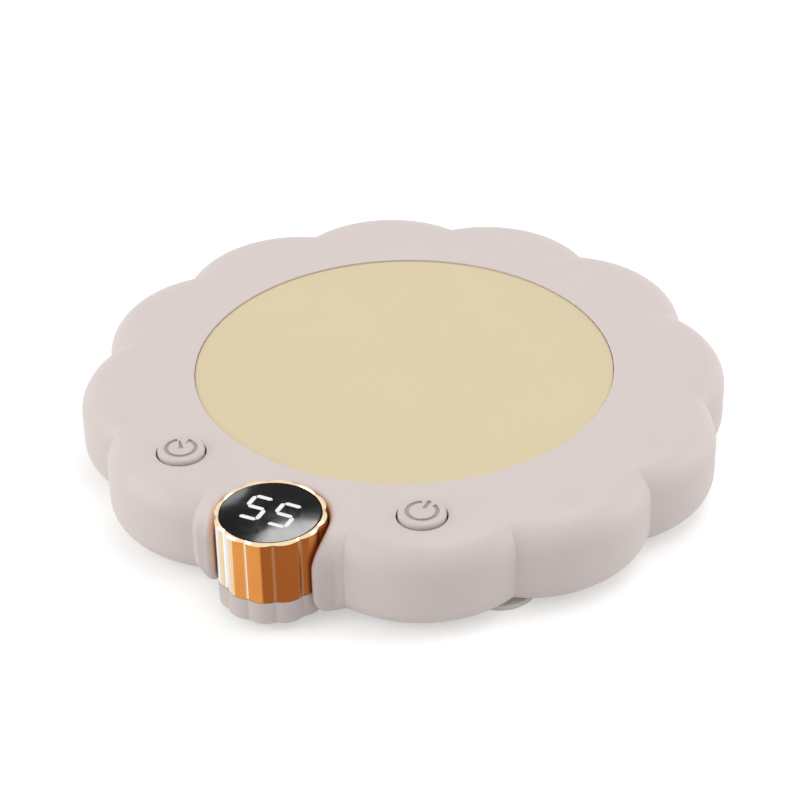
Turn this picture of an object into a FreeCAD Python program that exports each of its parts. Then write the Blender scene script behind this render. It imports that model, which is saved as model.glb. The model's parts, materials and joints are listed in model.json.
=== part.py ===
"""Flower-shaped mug warmer with a fluted knob, a round display and two push buttons.

Units are millimetres. The origin is the centre of the hot plate's top face, +Z is up,
and the knob lies towards -Y. Everything hangs below the origin but for the housing's
top edge, the knob, its lens and the button caps.
"""
import FreeCAD, Part
import math
import os

V = FreeCAD.Vector
Z_AXIS = V(0, 0, 1)

# Working values: how far fused pieces run into each other, and cuts past what they cut
overlap = 0.5
overrun = 1.0

# Housing outline: petals are circles set round a ring
petal_count = 12
petal_ring_radius = 40.8
petal_radius = 24.2
first_petal_angle = -90.0
body_height = 17.7
top_round = 6.55
bottom_round = 5.1
side_wall = 2.5
top_wall = 2.2
roof_bevel = 2.5
lip_round = 1.0
fit_gap = 0.1
rib_thickness = 1.2
notch_rib_angles = (15.0, 75.0, 105.0, 165.0, 195.0, 345.0)

# Hot plate and the stack that heats it
plate_radius = 42.0
plate_thickness = 3.0
plate_recess = 0.3
plate_bevel = 0.12
plate_spigot_step = 3.0
plate_spigot_depth = 0.6
seal_thickness = 0.4
ledge_width = 2.6
ledge_thickness = 1.6
ring_wall = 2.0
film_step = 1.5
film_thickness = 0.4
track_thickness = 0.15
track_width = 1.8
track_pitch = 7.2
track_turns = 4
track_margin = 2.9
track_gap = 4.5
spreader_step = 0.5
spreader_thickness = 1.2
pad_thickness = 2.4
sensor_hole_radius = 3.0
bead_radius = 1.5
bead_bevel = 0.5
bead_recess = 0.6
bead_drop = 0.4
pan_sheet = 0.6
pan_gap = 0.6
pan_flange_width = 4.8
pan_screw_step = 2.1
pan_screw_angles = (30.0, 150.0, 210.0, 330.0)
pan_boss_radius = 2.9
pan_pilot_depth = 2.6

# Thermal cut-out under the pan
fuse_radius = 1.9
fuse_length = 10.0
fuse_spot = (-8.0, -20.0)
fuse_leg_radius = 0.4
fuse_leg_length = 1.0
fuse_return_offset = 4.0
fuse_return_turn = 3.0
strap_sheet = 0.5
strap_width = 3.0
strap_foot = 2.5

# Knob, its bay and the fixed post inside it
lobe_count = 12
lobe_tip_radius = 10.55
flute_depth = 0.5
knob_rise = 0.9
knob_height = 13.1
knob_wall = 0.5
knob_rim_chamfer = 0.35
knob_bore_bevel = 0.2
knob_setback = 7.85
bay_gap = 0.4
bay_wall = 1.8
bay_clearance = 0.3
plinth_gap = 0.15
plinth_lift = 0.5
plinth_wall = 1.45
plinth_web = 1.5
plinth_bevel = 0.2
bearing_gap = 0.07
post_gap = 0.3
post_wall = 1.05
post_inner_step = 1.0
post_shoulder_drop = 10.2
post_floor = 1.2
upper_band = (0.8, 2.8)
lower_band = (0.6, 2.0)
stem_radius = 6.6
stem_bore_radius = 3.6
rotor_height = 2.6
rotor_teeth = 12
tooth_step = 0.6
tooth_width = 1.3
tooth_depth = 0.6
encoder_board_thickness = 1.0
pickup_angles = (60.0, 120.0)
pickup_half_angle = 9.0
pickup_gap = 0.05
neck_width = 12.0
post_screw_offset = 5.1
post_screw_grip = 4.0

# Display under its crowned lens
lens_gap = 0.1
lens_thickness = 1.2
lens_recess = 0.15
lens_crown = 0.25
lens_bevel = 0.12
module_gap = 0.1
module_thickness = 4.0
module_board_thickness = 1.0
digit_count = 2
digit_height = 7.6
digit_pitch = 5.9
segment_length = 3.63
segment_width = 0.72
segment_gap = 0.17
segment_depth = 0.3
well_margin = 0.3
well_depth = 1.0

# Buttons and their switches
button_inset = 12.7
button_angle = 29.05
button_hole_radius = 4.9
button_gap = 0.38
button_rise = 1.03
button_round = 0.6
collar_wall = 1.3
collar_drop = 1.5
flange_thickness = 0.8
flange_gap = 0.2
stem_pad_radius = 1.6
stem_pad_height = 1.1
key_width = 1.6
key_reach = 0.8
key_drop = 0.9
key_slot_drop = 0.2
switch_size = 6.0
switch_height = 3.4
switch_corner = 0.5
well_floor = 2.0
plunger_radius = 1.7
plunger_rise = 1.0
plunger_depth = 1.2
plunger_bevel = 0.2
plunger_gap = 0.1

# Main board and power inlet
main_board_thickness = 1.6
main_board_half_width = 23.0
main_board_front = -8.0
main_board_back = 50.0
board_tongue_half_width = 8.0
board_tongue_setback = 5.0
board_tongue_lap = 3.0
board_corner = 2.0
board_standoff = 2.0
board_screw_inset = 3.5
inlet_width = 8.94
inlet_height = 3.26
inlet_sheet = 0.3
inlet_depth = 7.3
inlet_back_wall = 1.2
inlet_setback = 1.4
inlet_gap = 0.15
inlet_slot_depth = 8.0
inlet_recess_width = 12.0
inlet_recess_height = 6.2
inlet_recess_depth = 0.8
tongue_half_width = 3.3
tongue_thickness = 0.7
tongue_setback = 1.0

# Parts on the main board: centre in plan, then sizes
chip_spot = (9.5, 21.5)
chip_side = 7.0
chip_height = 1.2
chip_dot_radius = 0.6
chip_dot_inset = 1.4
chip_dot_depth = 0.2
transistor_spot = (-12.75, 23.0)
transistor_size = (6.5, 6.0, 2.2)
transistor_tab = (5.3, 1.6, 0.5)
transistor_leg = (0.8, 2.4, 0.5)
transistor_leg_pitch = 2.35
capacitor_spot = (12.5, 37.5)
capacitor_foot = (7.0, 0.6)
capacitor_radius = 3.1
capacitor_height = 2.9
buzzer_spot = (-14.0, 38.0)
buzzer_radius = 4.5
buzzer_height = 2.4
buzzer_hole_radius = 0.9
buzzer_hole_depth = 0.6
can_bevel = 0.3
connector_height = 2.4
connector_depth = 4.0
sensor_connector_half_width = 2.5
heater_connector_half_width = 4.0
heater_connector_half_depth = 2.5
fuse_connector_half_width = 3.5
connector_wall = 0.8
panel_x = 13.5

# Control board
control_board_thickness = 1.2
control_board_margin = 1.1
control_board_setback = 8.5
control_board_half_angle = 39.0
control_board_bay_gap = 0.6
control_board_front_step = 2.0
control_board_front_margin = 5.25
control_screw_step = 4.0
control_screw_angle = 34.5

# Base cover and feet
floor_thickness = 2.0
rim_width = 1.2
rim_height = 1.5
floor_rib_height = 1.0
floor_rib_start = 4.0
floor_rib_end = 3.0
floor_rib_angles = (-15.0, 0.0, 15.0, 165.0, 180.0, 195.0)
foot_inset = 12.1
foot_angles = (45.0, 135.0, 225.0, 315.0)
foot_radius = 7.0
foot_height = 1.2
foot_bevels = (0.1, 0.3)
foot_spigot_radius = 4.9
foot_spigot_height = 1.0

# Screws, their bosses and standoffs
boss_radius = 3.5
base_pilot_depth = 7.0
screw_shaft_radius = 1.5
screw_head_radius = 2.75
screw_head_height = 1.6
screw_room = 0.2
screw_pad_radius = 4.7
screw_pad_height = 2.0
base_screw_grip = 6.5
small_shaft_radius = 1.0
small_head_radius = 2.0
small_head_height = 1.2
small_screw_room = 0.15
pan_screw_length = 3.0
board_screw_length = 3.8
pilot_gap = 0.05
pilot_into_floor = 0.8
standoff_radius = 3.0
prop_radius = 2.6

# Leads
lead_radius = 0.8
lead_x = 1.8
lead_y_step = 1.0
lead_slot_room = 0.8
sensor_lead_radius = 0.5
sensor_lead_x = 0.75
lead_bend = 1.9
ribbon_thickness = 0.5
ribbon_bend = 1.2
ribbon_gap = 0.4
ribbon_setback = 2.2
display_ribbon_width = 5.0
panel_ribbon_width = 6.0
panel_rise_step = 4.0

# Plan sizes that follow from the ones above
petal_reach = petal_ring_radius + petal_radius
plate_spigot_radius = plate_radius - plate_spigot_step
plate_opening_radius = plate_radius + fit_gap
plate_ring_radius = plate_opening_radius + ring_wall
ledge_radius = plate_opening_radius - ledge_width
film_radius = plate_spigot_radius - film_step
track_outer_radius = film_radius - track_margin
spreader_radius = film_radius - spreader_step
pan_inner_radius = spreader_radius + pan_gap
pan_outer_radius = pan_inner_radius + pan_sheet
pan_screw_circle = plate_ring_radius + pan_screw_step
lead_y = track_outer_radius - lead_y_step
lobe_valley_radius = lobe_tip_radius - flute_depth
knob_bore_radius = lobe_valley_radius - knob_wall
bay_radius = lobe_tip_radius + bay_gap
bay_outer_radius = bay_radius + bay_wall
knob_axis_y = -max(petal_reach - knob_setback, plate_ring_radius + bay_clearance + bay_outer_radius)
plinth_bore_radius = lobe_valley_radius - plinth_wall
post_radius = knob_bore_radius - post_gap
post_bore_radius = post_radius - post_wall
lens_radius = knob_bore_radius - lens_gap
module_radius = post_bore_radius - module_gap
button_circle = petal_reach - button_inset
cap_radius = button_hole_radius - button_gap
board_tongue_back = petal_reach - board_tongue_setback
inlet_mouth = petal_reach - inlet_setback
control_board_inner = pan_outer_radius + control_board_margin
control_board_outer = petal_reach - control_board_setback
control_screw_circle = control_board_inner + control_screw_step
foot_circle = petal_reach - foot_inset
fuse_ends = (fuse_spot[1] - fuse_length / 2, fuse_spot[1] + fuse_length / 2)

# Levels that follow from the sizes above
body_top = plate_recess
body_bottom = body_top - body_height
floor_top = body_bottom + floor_thickness
roof = body_top - top_wall
seal_top = -plate_thickness
ledge_top = seal_top - seal_thickness
ledge_bottom = ledge_top - ledge_thickness
film_top = -plate_thickness - plate_spigot_depth
film_bottom = film_top - film_thickness
track_bottom = film_bottom - track_thickness
spreader_bottom = track_bottom - spreader_thickness
pad_bottom = spreader_bottom - pad_thickness
pan_bottom = pad_bottom - pan_sheet
fuse_level = pan_bottom - fuse_radius
board_bottom = floor_top + board_standoff
board_top = board_bottom + main_board_thickness
connector_top = board_top + connector_height
inlet_level = board_top + inlet_height / 2
knob_top = body_top + knob_rise
knob_bottom = knob_top - knob_height
rotor_top = knob_bottom + rotor_height
plinth_top = knob_bottom - plinth_gap
plinth_bottom = body_bottom + plinth_lift
web_top = floor_top + plinth_web
encoder_board_top = web_top + encoder_board_thickness
lens_edge = knob_top - lens_recess
lens_bottom = lens_edge - lens_thickness
module_bottom = lens_bottom - module_thickness
module_board_bottom = module_bottom - module_board_thickness
post_shoulder = knob_top - post_shoulder_drop
cap_top = body_top + button_rise
collar_bottom = roof - collar_drop
flange_top = collar_bottom - fit_gap
flange_bottom = flange_top - flange_thickness
plunger_top = flange_bottom - stem_pad_height
switch_top = plunger_top - plunger_rise
control_board_top = switch_top - switch_height
control_board_bottom = control_board_top - control_board_thickness
foot_bottom = body_bottom - foot_height
spigot_top = body_bottom + foot_spigot_height
pad_top = floor_top + screw_pad_height
head_seat = spigot_top + screw_head_height + screw_room


def polar(radius, degrees):
    """Plan position at a radius and an angle from +X."""
    angle = math.radians(degrees)
    return radius * math.cos(angle), radius * math.sin(angle)


def disc(radius, low, high, x=0.0, y=0.0):
    """Upright round bar between two levels."""
    return Part.makeCylinder(radius, high - low, V(x, y, low), Z_AXIS)


def ring(inner, outer, low, high, x=0.0, y=0.0):
    """Upright tube between two levels."""
    return disc(outer, low, high, x, y).cut(disc(inner, low, high, x, y))


def level_bar(radius, x, y_range, z):
    """Round bar along Y at a level."""
    return Part.makeCylinder(radius, y_range[1] - y_range[0], V(x, y_range[0], z), V(0, 1, 0))


def block(x_range, y_range, z_range):
    """Box between two corners, each axis given as a (low, high) pair."""
    size = [pair[1] - pair[0] for pair in (x_range, y_range, z_range)]
    return Part.makeBox(size[0], size[1], size[2], V(x_range[0], y_range[0], z_range[0]))


def centred_block(spot, width, depth, low, high):
    """Box about a plan position."""
    x, y = spot
    return block((x - width / 2, x + width / 2), (y - depth / 2, y + depth / 2), (low, high))


def turned(shape, degrees):
    """Copy of a shape turned about the centre's upright axis."""
    copy = shape.copy()
    copy.rotate(V(0, 0, 0), Z_AXIS, degrees)
    return copy


def moved(shape, x, y, z=0.0):
    """Copy of a shape shifted in space."""
    copy = shape.copy()
    copy.translate(V(x, y, z))
    return copy


def fused(shapes):
    """One solid from pieces that overlap or share faces."""
    shapes = list(shapes)
    return shapes[0].multiFuse(shapes[1:]).removeSplitter()


def less(shape, cuts):
    """Shape with a list of cuts taken out of it."""
    return shape.cut(Part.makeCompound(cuts))


def prism(wire, low, high):
    """Upright prism over a closed flat wire drawn at level zero."""
    return moved(Part.Face(wire).extrude(V(0, 0, high - low)), 0, 0, low)


def arc(start, middle, end):
    """Arc edge through three plan points at level zero."""
    return Part.Arc(V(*start, 0), V(*middle, 0), V(*end, 0)).toShape()


def slab(points, low, high):
    """Upright prism over a polygon of plan points."""
    corners = [V(x, y, 0) for x, y in points]
    return prism(Part.makePolygon(corners + corners[:1]), low, high)


def sector(inner, outer, start, end, low, high):
    """Part of an upright tube between two angles, in degrees."""
    middle = (start + end) / 2
    a, b, c = polar(outer, start), polar(outer, middle), polar(outer, end)
    d, e, f = polar(inner, end), polar(inner, middle), polar(inner, start)
    lines = [Part.makeLine(V(*c, 0), V(*d, 0)), Part.makeLine(V(*f, 0), V(*a, 0))]
    return prism(Part.Wire([arc(a, b, c), lines[0], arc(d, e, f), lines[1]]), low, high)


def edged_disc(radius, low, high, top, bottom, rounded=False):
    """Round disc whose edges are bevelled, or rounded, by top and bottom."""
    points = [V(0, 0, low), V(radius - bottom, 0, low), V(radius, 0, low + bottom)]
    points += [V(radius, 0, high - top), V(radius - top, 0, high), V(0, 0, high)]
    slope = math.sqrt(0.5)
    edges = [Part.makeLine(points[0], points[1])]
    if bottom and rounded:
        middle = V(radius - bottom + bottom * slope, 0, low + bottom - bottom * slope)
        edges.append(Part.Arc(points[1], middle, points[2]).toShape())
    elif bottom:
        edges.append(Part.makeLine(points[1], points[2]))
    edges.append(Part.makeLine(points[2], points[3]))
    if top and rounded:
        middle = V(radius - top + top * slope, 0, high - top + top * slope)
        edges.append(Part.Arc(points[3], middle, points[4]).toShape())
    elif top:
        edges.append(Part.makeLine(points[3], points[4]))
    edges.append(Part.makeLine(points[4], points[5]))
    edges.append(Part.makeLine(points[5], points[0]))
    return Part.Face(Part.Wire(edges)).revolve(V(0, 0, 0), Z_AXIS, 360)


def scalloped(count, ring_radius, lobe, first_angle):
    """Solid whose outline is a ring of equal lobes, each a copy of an edged disc."""
    step = 360.0 / count
    reach = 3 * ring_radius
    half = math.radians(step / 2)
    corners = [V(0, 0, -reach), V(reach, -reach * math.tan(half), -reach)]
    corners.append(V(reach, reach * math.tan(half), -reach))
    wedge = Part.Face(Part.makePolygon(corners + corners[:1])).extrude(V(0, 0, 2 * reach))
    bounds = lobe.BoundBox
    core = disc(ring_radius, bounds.ZMin, bounds.ZMax)
    slice_ = moved(lobe, ring_radius, 0).fuse(core).common(wedge)
    return fused([turned(slice_, first_angle + step * index) for index in range(count)])


def notch_radius(inset):
    """Distance from the centre to the notches of the outline drawn inwards by inset."""
    half_step = math.radians(180.0 / petal_count)
    half_chord = petal_ring_radius * math.sin(half_step)
    inner = math.sqrt((petal_radius - inset) ** 2 - half_chord ** 2)
    return petal_ring_radius * math.cos(half_step) + inner


def petal_outline(inset):
    """Closed wire of the housing's outline, drawn inwards by inset."""
    notch = notch_radius(inset)
    side = 180.0 / petal_count
    edges = []
    for index in range(petal_count):
        angle = first_petal_angle + 2 * index * side
        tip = polar(petal_reach - inset, angle)
        edges.append(arc(polar(notch, angle - side), tip, polar(notch, angle + side)))
    return Part.Wire(edges)


def stadium(width, height, y_range, z):
    """Bar with a race-track section, lying along Y and centred at a level."""
    radius = height / 2
    reach = width / 2 - radius
    ends = [level_bar(radius, side * reach, y_range, z) for side in (-1, 1)]
    return fused(ends + [block((-reach, reach), y_range, (z - radius, z + radius))])


def at_knob(shape):
    """Move a shape made round the origin to the knob's axis."""
    return moved(shape, 0, knob_axis_y)


def routed(points, bend):
    """Wire of straight runs joined by tangent arcs of one radius."""
    spots = [V(*point) for point in points]
    edges = []
    start = spots[0]
    for before, corner, after in zip(spots, spots[1:], spots[2:]):
        into = (corner - before).normalize()
        out = (after - corner).normalize()
        turn = into.getAngle(out)
        cut = bend * math.tan(turn / 2)
        first = corner - into * cut
        last = corner + out * cut
        inward = (out - into).normalize()
        rise = bend / math.cos(turn / 2) - bend
        edges.append(Part.makeLine(start, first))
        edges.append(Part.Arc(first, corner + inward * rise, last).toShape())
        start = last
    edges.append(Part.makeLine(start, spots[-1]))
    return Part.Wire(edges)


def round_lead(points, bend, radius):
    """Round wire along a route: a bar for each run and a torus for each bend."""
    pieces = []
    for edge in routed(points, bend).Edges:
        start = edge.valueAt(edge.FirstParameter)
        along = edge.tangentAt(edge.FirstParameter)
        section = Part.Face(Part.Wire(Part.makeCircle(radius, start, along)))
        if isinstance(edge.Curve, Part.Circle):
            sweep = math.degrees(edge.LastParameter - edge.FirstParameter)
            pieces.append(section.revolve(edge.Curve.Center, edge.Curve.Axis, sweep))
        else:
            pieces.append(section.extrude(edge.valueAt(edge.LastParameter) - start))
    return fused(pieces)


def ribbon(points, bend, width, thickness):
    """Flat lead whose width lies along X and whose route keeps one X."""
    start = V(*points[0])
    direction = (V(*points[1]) - start).normalize()
    side = V(1, 0, 0) * (width / 2)
    across = V(1, 0, 0).cross(direction) * (thickness / 2)
    corners = [start + side + across, start - side + across]
    corners += [start - side - across, start + side - across]
    profile = Part.makePolygon(corners + corners[:1])
    return routed(points, bend).makePipeShell([profile], True, True)


def housing_form():
    """Outer form of the closed housing with the knob bay cut and its lips rounded."""
    petal = edged_disc(petal_radius, body_bottom, body_top, top_round, bottom_round, rounded=True)
    form = scalloped(petal_count, petal_ring_radius, petal, first_petal_angle)
    form = form.cut(at_knob(disc(bay_radius, body_bottom - overrun, body_top + overrun)))
    lips = [edge for edge in form.Edges if on_bay_wall(edge)]
    return form.makeFillet(lip_round, lips)


def on_bay_wall(edge):
    """True for an edge whose points all lie on the bay's wall."""
    first, last = edge.ParameterRange
    for share in (0.1, 0.5, 0.9):
        point = edge.valueAt(first + (last - first) * share)
        if abs(math.hypot(point.x, point.y - knob_axis_y) - bay_radius) > 0.01:
            return False
    return True


def button_spots():
    """Plan positions of the left and right button."""
    return [polar(button_circle, -90 + side * button_angle) for side in (-1, 1)]


def cavity_form():
    """Room inside the housing: straight walls below a bevelled roof."""
    lobe = edged_disc(petal_radius - side_wall, body_bottom - overrun, roof, roof_bevel, 0)
    room = scalloped(petal_count, petal_ring_radius, lobe, first_petal_angle)
    return room.cut(at_knob(disc(bay_outer_radius, body_bottom - 2 * overrun, body_top)))


def neck_passage(low):
    """Cut that lets the base cover's neck and the display ribbon under a wall."""
    half = neck_width / 2 + fit_gap
    ribbon_half = display_ribbon_width / 2 + ribbon_gap
    ribbon_room = floor_top + ribbon_thickness + ribbon_gap
    reach = (knob_axis_y, knob_axis_y + bay_outer_radius + overrun)
    neck = block((-half, half), reach, (low, floor_top + fit_gap))
    return neck.fuse(block((-ribbon_half, ribbon_half), reach, (low, ribbon_room)))


def pilot(x, y, shaft, low, high):
    """Hole that a screw's thread bites into."""
    return disc(shaft + pilot_gap, low, high, x, y)


def top_shell(form):
    """Upper housing with its plate ring, bay wall, collars, bosses and ribs."""
    in_roof = roof + overlap
    added = [ring(plate_opening_radius, plate_ring_radius, ledge_bottom, in_roof)]
    added.append(ring(ledge_radius, plate_opening_radius + overlap, ledge_bottom, ledge_top))
    removed = [disc(plate_opening_radius, ledge_top, body_top + overrun)]
    for x, y in button_spots():
        added.append(disc(button_hole_radius + collar_wall, collar_bottom, in_roof, x, y))
        removed.append(disc(button_hole_radius, collar_bottom - overrun, body_top + overrun, x, y))
        removed.append(button_key(x, y, fit_gap, (collar_bottom - overrun, roof - key_slot_drop)))
    for angle in foot_angles:
        x, y = polar(foot_circle, angle)
        added.append(disc(boss_radius, pad_top, in_roof, x, y))
        removed.append(pilot(x, y, screw_shaft_radius, pad_top - overrun, pad_top + base_pilot_depth))
    for angle in pan_screw_angles:
        x, y = polar(pan_screw_circle, angle)
        added.append(disc(pan_boss_radius, ledge_bottom, in_roof, x, y))
        removed.append(pilot(x, y, small_shaft_radius, ledge_bottom - overrun,
                             ledge_bottom + pan_pilot_depth))
    rib = block((plate_ring_radius - overlap, notch_radius(side_wall) + overlap),
                (-rib_thickness / 2, rib_thickness / 2), (ledge_bottom, in_roof))
    added += [turned(rib, angle) for angle in notch_rib_angles]
    shell = fused([form.cut(cavity_form())] + added)
    removed.append(neck_passage(body_bottom - overrun))
    return less(shell, removed + inlet_cuts())


def inlet_cuts():
    """Slot for the inlet through the back wall, and the shallow recess round it."""
    slot = stadium(inlet_width + 2 * inlet_gap, inlet_height + 2 * inlet_gap,
                   (petal_reach - inlet_slot_depth, petal_reach + overrun), inlet_level)
    recess = stadium(inlet_recess_width, inlet_recess_height,
                     (petal_reach - inlet_recess_depth, petal_reach + overrun), inlet_level)
    return [slot, recess]


def base_plate(form):
    """Flat bottom inside the housing's walls, with the rim that centres it."""
    inset = side_wall + fit_gap
    plate = form.common(prism(petal_outline(inset), body_bottom - overrun, floor_top))
    rim = prism(petal_outline(inset), floor_top - overlap, floor_top + rim_height)
    core = prism(petal_outline(inset + rim_width), floor_top - overrun,
                 floor_top + rim_height + overrun)
    bay = at_knob(disc(bay_outer_radius + fit_gap, body_bottom - overrun, 0))
    return plate.fuse(rim.cut(core)).cut(bay)


def foot_cuts(x, y):
    """Recess for a foot's spigot and the screw's head and shaft above it."""
    cuts = [disc(foot_spigot_radius + fit_gap, body_bottom - overrun, spigot_top, x, y)]
    cuts.append(disc(screw_head_radius + screw_room, spigot_top - overlap, head_seat, x, y))
    cuts.append(disc(screw_shaft_radius + screw_room, body_bottom, pad_top + overrun, x, y))
    return cuts


def base_cover(form):
    """Bottom plate with its rim, pads, standoffs, ribs and the neck to the knob's post."""
    low = floor_top - overlap
    half = neck_width / 2
    neck_end = knob_axis_y + bay_outer_radius + 2 * overrun
    added = [at_knob(disc(plinth_bore_radius - fit_gap, body_bottom, floor_top))]
    added.append(block((-half, half), (knob_axis_y, neck_end), (body_bottom, floor_top)))
    removed = []
    for angle in foot_angles:
        x, y = polar(foot_circle, angle)
        added.append(disc(screw_pad_radius, low, pad_top, x, y))
        removed += foot_cuts(x, y)
    for x, y in main_screw_spots():
        added.append(disc(standoff_radius, low, board_bottom, x, y))
        removed.append(pilot(x, y, small_shaft_radius, floor_top - pilot_into_floor,
                             board_bottom + overrun))
    for x, y in control_screw_spots():
        added.append(disc(standoff_radius, low, control_board_bottom, x, y))
        removed.append(pilot(x, y, small_shaft_radius, floor_top, control_board_bottom + overrun))
    added += [disc(prop_radius, low, control_board_bottom, x, y) for x, y in button_spots()]
    rib = block((main_board_half_width + floor_rib_start, foot_circle + floor_rib_end),
                (-rib_thickness / 2, rib_thickness / 2), (low, floor_top + floor_rib_height))
    added += [turned(rib, angle) for angle in floor_rib_angles]
    for side in (-1, 1):
        x = side * post_screw_offset
        removed.append(pilot(x, knob_axis_y, small_shaft_radius, body_bottom - overrun,
                             floor_top + overrun))
        removed.append(moved(screw_cone(pilot_gap), x, knob_axis_y))
    return less(fused([base_plate(form)] + added), removed)


def screw_cone(gap):
    """Countersunk head of a post screw, wider by gap for the hole."""
    small = small_shaft_radius + gap
    large = small_head_radius + gap
    return Part.makeCone(large, small, large - small, V(0, 0, body_bottom), Z_AXIS)


def hot_plate():
    """Round plate with a bevelled top edge and a spigot that centres it in the ledge."""
    plate = edged_disc(plate_radius, -plate_thickness, 0, plate_bevel, 0)
    return plate.fuse(disc(plate_spigot_radius, film_top, -plate_thickness)).removeSplitter()


def plate_seal():
    """Flat ring between the plate and the housing's ledge."""
    return ring(ledge_radius + fit_gap, plate_radius - fit_gap, ledge_top, seal_top)


def heater_film():
    """Thin insulating disc that carries the heating track."""
    return disc(film_radius, film_bottom, film_top)


def heater_track():
    """Heating foil in arcs that double back beside a gap where its two ends meet the leads."""
    levels = (track_bottom, film_bottom)
    half = track_width / 2
    lap = half / 2
    pieces = []
    for turn in range(track_turns):
        middle = track_outer_radius - turn * track_pitch
        open_angle = math.degrees(math.asin(track_gap / middle))
        pieces.append(sector(middle - half, middle + half, 90 + open_angle, 450 - open_angle, *levels))
        if turn < track_turns - 1:
            side = 1 if turn % 2 == 0 else -1
            across = sorted((side * (track_gap - lap), side * (track_gap + track_width)))
            pieces.append(block(across, (middle - track_pitch - lap, middle), levels))
    last = track_outer_radius - (track_turns - 1) * track_pitch
    end_side = 1 if track_turns % 2 else -1
    pieces.append(block((lead_x - half, lead_x + half), (last - half, lead_y + half), levels))
    bridge = sorted((lead_x, end_side * (track_gap + lap)))
    pieces.append(block(bridge, (last - half, last + lap), levels))
    start_bridge = (-track_gap - lap, half - lead_x)
    pieces.append(block(start_bridge, (lead_y - half, lead_y + half), levels))
    return fused(pieces)


def lead_slot(low, high):
    """Slot for the heater leads through the stack."""
    reach = lead_x + lead_radius + lead_slot_room
    half = lead_radius + lead_slot_room
    return block((-reach, reach), (lead_y - half, lead_y + half), (low, high))


def heat_spreader():
    """Metal disc that presses the film to the plate."""
    plate = disc(spreader_radius, spreader_bottom, track_bottom)
    seat = disc(sensor_hole_radius, spreader_bottom - overrun, track_bottom - bead_recess)
    return less(plate, [seat, lead_slot(spreader_bottom - overrun, track_bottom + overrun)])


def insulation_pad():
    """Soft disc that keeps the heat up."""
    pad = ring(sensor_hole_radius, spreader_radius, pad_bottom, spreader_bottom)
    return pad.cut(lead_slot(pad_bottom - overrun, spreader_bottom + overrun))


def heater_pan():
    """Pressed sheet pan with a flange and four ears that hold the stack to the ledge."""
    low = ledge_bottom - pan_sheet
    pieces = [disc(pan_outer_radius, pan_bottom, ledge_bottom)]
    pieces.append(disc(pan_outer_radius + pan_flange_width, low, ledge_bottom))
    arm = block((pan_inner_radius, pan_screw_circle), (-pan_boss_radius, pan_boss_radius),
                (low, ledge_bottom))
    holes = [disc(pan_inner_radius, pad_bottom, ledge_bottom + overrun)]
    holes.append(disc(sensor_hole_radius, pan_bottom - overrun, pad_bottom + overrun))
    holes.append(lead_slot(pan_bottom - overrun, pad_bottom + overrun))
    for angle in pan_screw_angles:
        x, y = polar(pan_screw_circle, angle)
        pieces.append(disc(pan_boss_radius, low, ledge_bottom, x, y))
        pieces.append(turned(arm, angle))
        holes.append(disc(small_shaft_radius + small_screw_room, low - overrun,
                          ledge_bottom + overrun, x, y))
    return less(fused(pieces), holes)


def hanging_screw(x, y, seat, length, shaft, head, height):
    """Screw whose head bears upwards at seat and whose shaft rises."""
    return disc(head, seat - height, seat, x, y).fuse(disc(shaft, seat, seat + length, x, y))


def standing_screw(x, y, seat):
    """Small screw whose head bears downwards at seat and whose shaft falls."""
    head = disc(small_head_radius, seat, seat + small_head_height, x, y)
    return head.fuse(disc(small_shaft_radius, seat - board_screw_length, seat, x, y))


def pan_screws():
    """Four short screws that hold the pan's ears to the housing's bosses."""
    seat = ledge_bottom - pan_sheet
    spots = [polar(pan_screw_circle, angle) for angle in pan_screw_angles]
    return [hanging_screw(x, y, seat, pan_screw_length, small_shaft_radius, small_head_radius,
                          small_head_height) for x, y in spots]


def thermistor():
    """Bead that presses on the spreader from below."""
    return edged_disc(bead_radius, pad_bottom + bead_drop, track_bottom - bead_recess,
                      bead_bevel, bead_bevel)


def sensor_leads():
    """Two thin wires from the bead down to their connector."""
    return [disc(sensor_lead_radius, connector_top, pad_bottom + bead_drop, side * sensor_lead_x)
            for side in (-1, 1)]


def heater_leads():
    """Two wires from the track's ends down to their connector."""
    return [disc(lead_radius, connector_top, track_bottom, side * lead_x, lead_y)
            for side in (-1, 1)]


def thermal_fuse():
    """Cylindrical cut-out with an axial leg at each end."""
    ends = (fuse_ends[0] - fuse_leg_length, fuse_ends[1] + fuse_leg_length)
    body = level_bar(fuse_radius, fuse_spot[0], fuse_ends, fuse_level)
    return body.fuse(level_bar(fuse_leg_radius, fuse_spot[0], ends, fuse_level)).removeSplitter()


def fuse_leads():
    """Two sleeved wires from the cut-out's legs to the board's front edge."""
    x = fuse_spot[0]
    back = main_board_front
    first = level_bar(lead_radius, x, (fuse_ends[1] + fuse_leg_length, back), fuse_level)
    front = fuse_ends[0] - fuse_leg_length
    turn = front - fuse_return_turn
    route = [(x, front, fuse_level), (x, turn, fuse_level)]
    route += [(x - fuse_return_offset, turn, fuse_level), (x - fuse_return_offset, back, fuse_level)]
    return [first, round_lead(route, lead_bend, lead_radius)]


def fuse_clip():
    """Bent strap that holds the cut-out under the pan."""
    x, y = fuse_spot
    y_range = (y - strap_width / 2, y + strap_width / 2)
    reach = fuse_radius + strap_sheet
    foot_reach = reach + strap_foot
    pieces = [level_bar(reach, x, y_range, fuse_level)]
    pieces.append(block((x - reach, x + reach), y_range, (fuse_level, pan_bottom)))
    pieces.append(block((x - foot_reach, x + foot_reach), y_range, (pan_bottom - strap_sheet, pan_bottom)))
    cuts = [level_bar(fuse_radius, x, y_range, fuse_level)]
    cuts.append(block((x - fuse_radius, x + fuse_radius), y_range, (fuse_level, pan_bottom)))
    cuts.append(block((x - foot_reach, x + foot_reach), y_range, (pan_bottom, pan_bottom + reach)))
    return fused(pieces).cut(fused(cuts))


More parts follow.
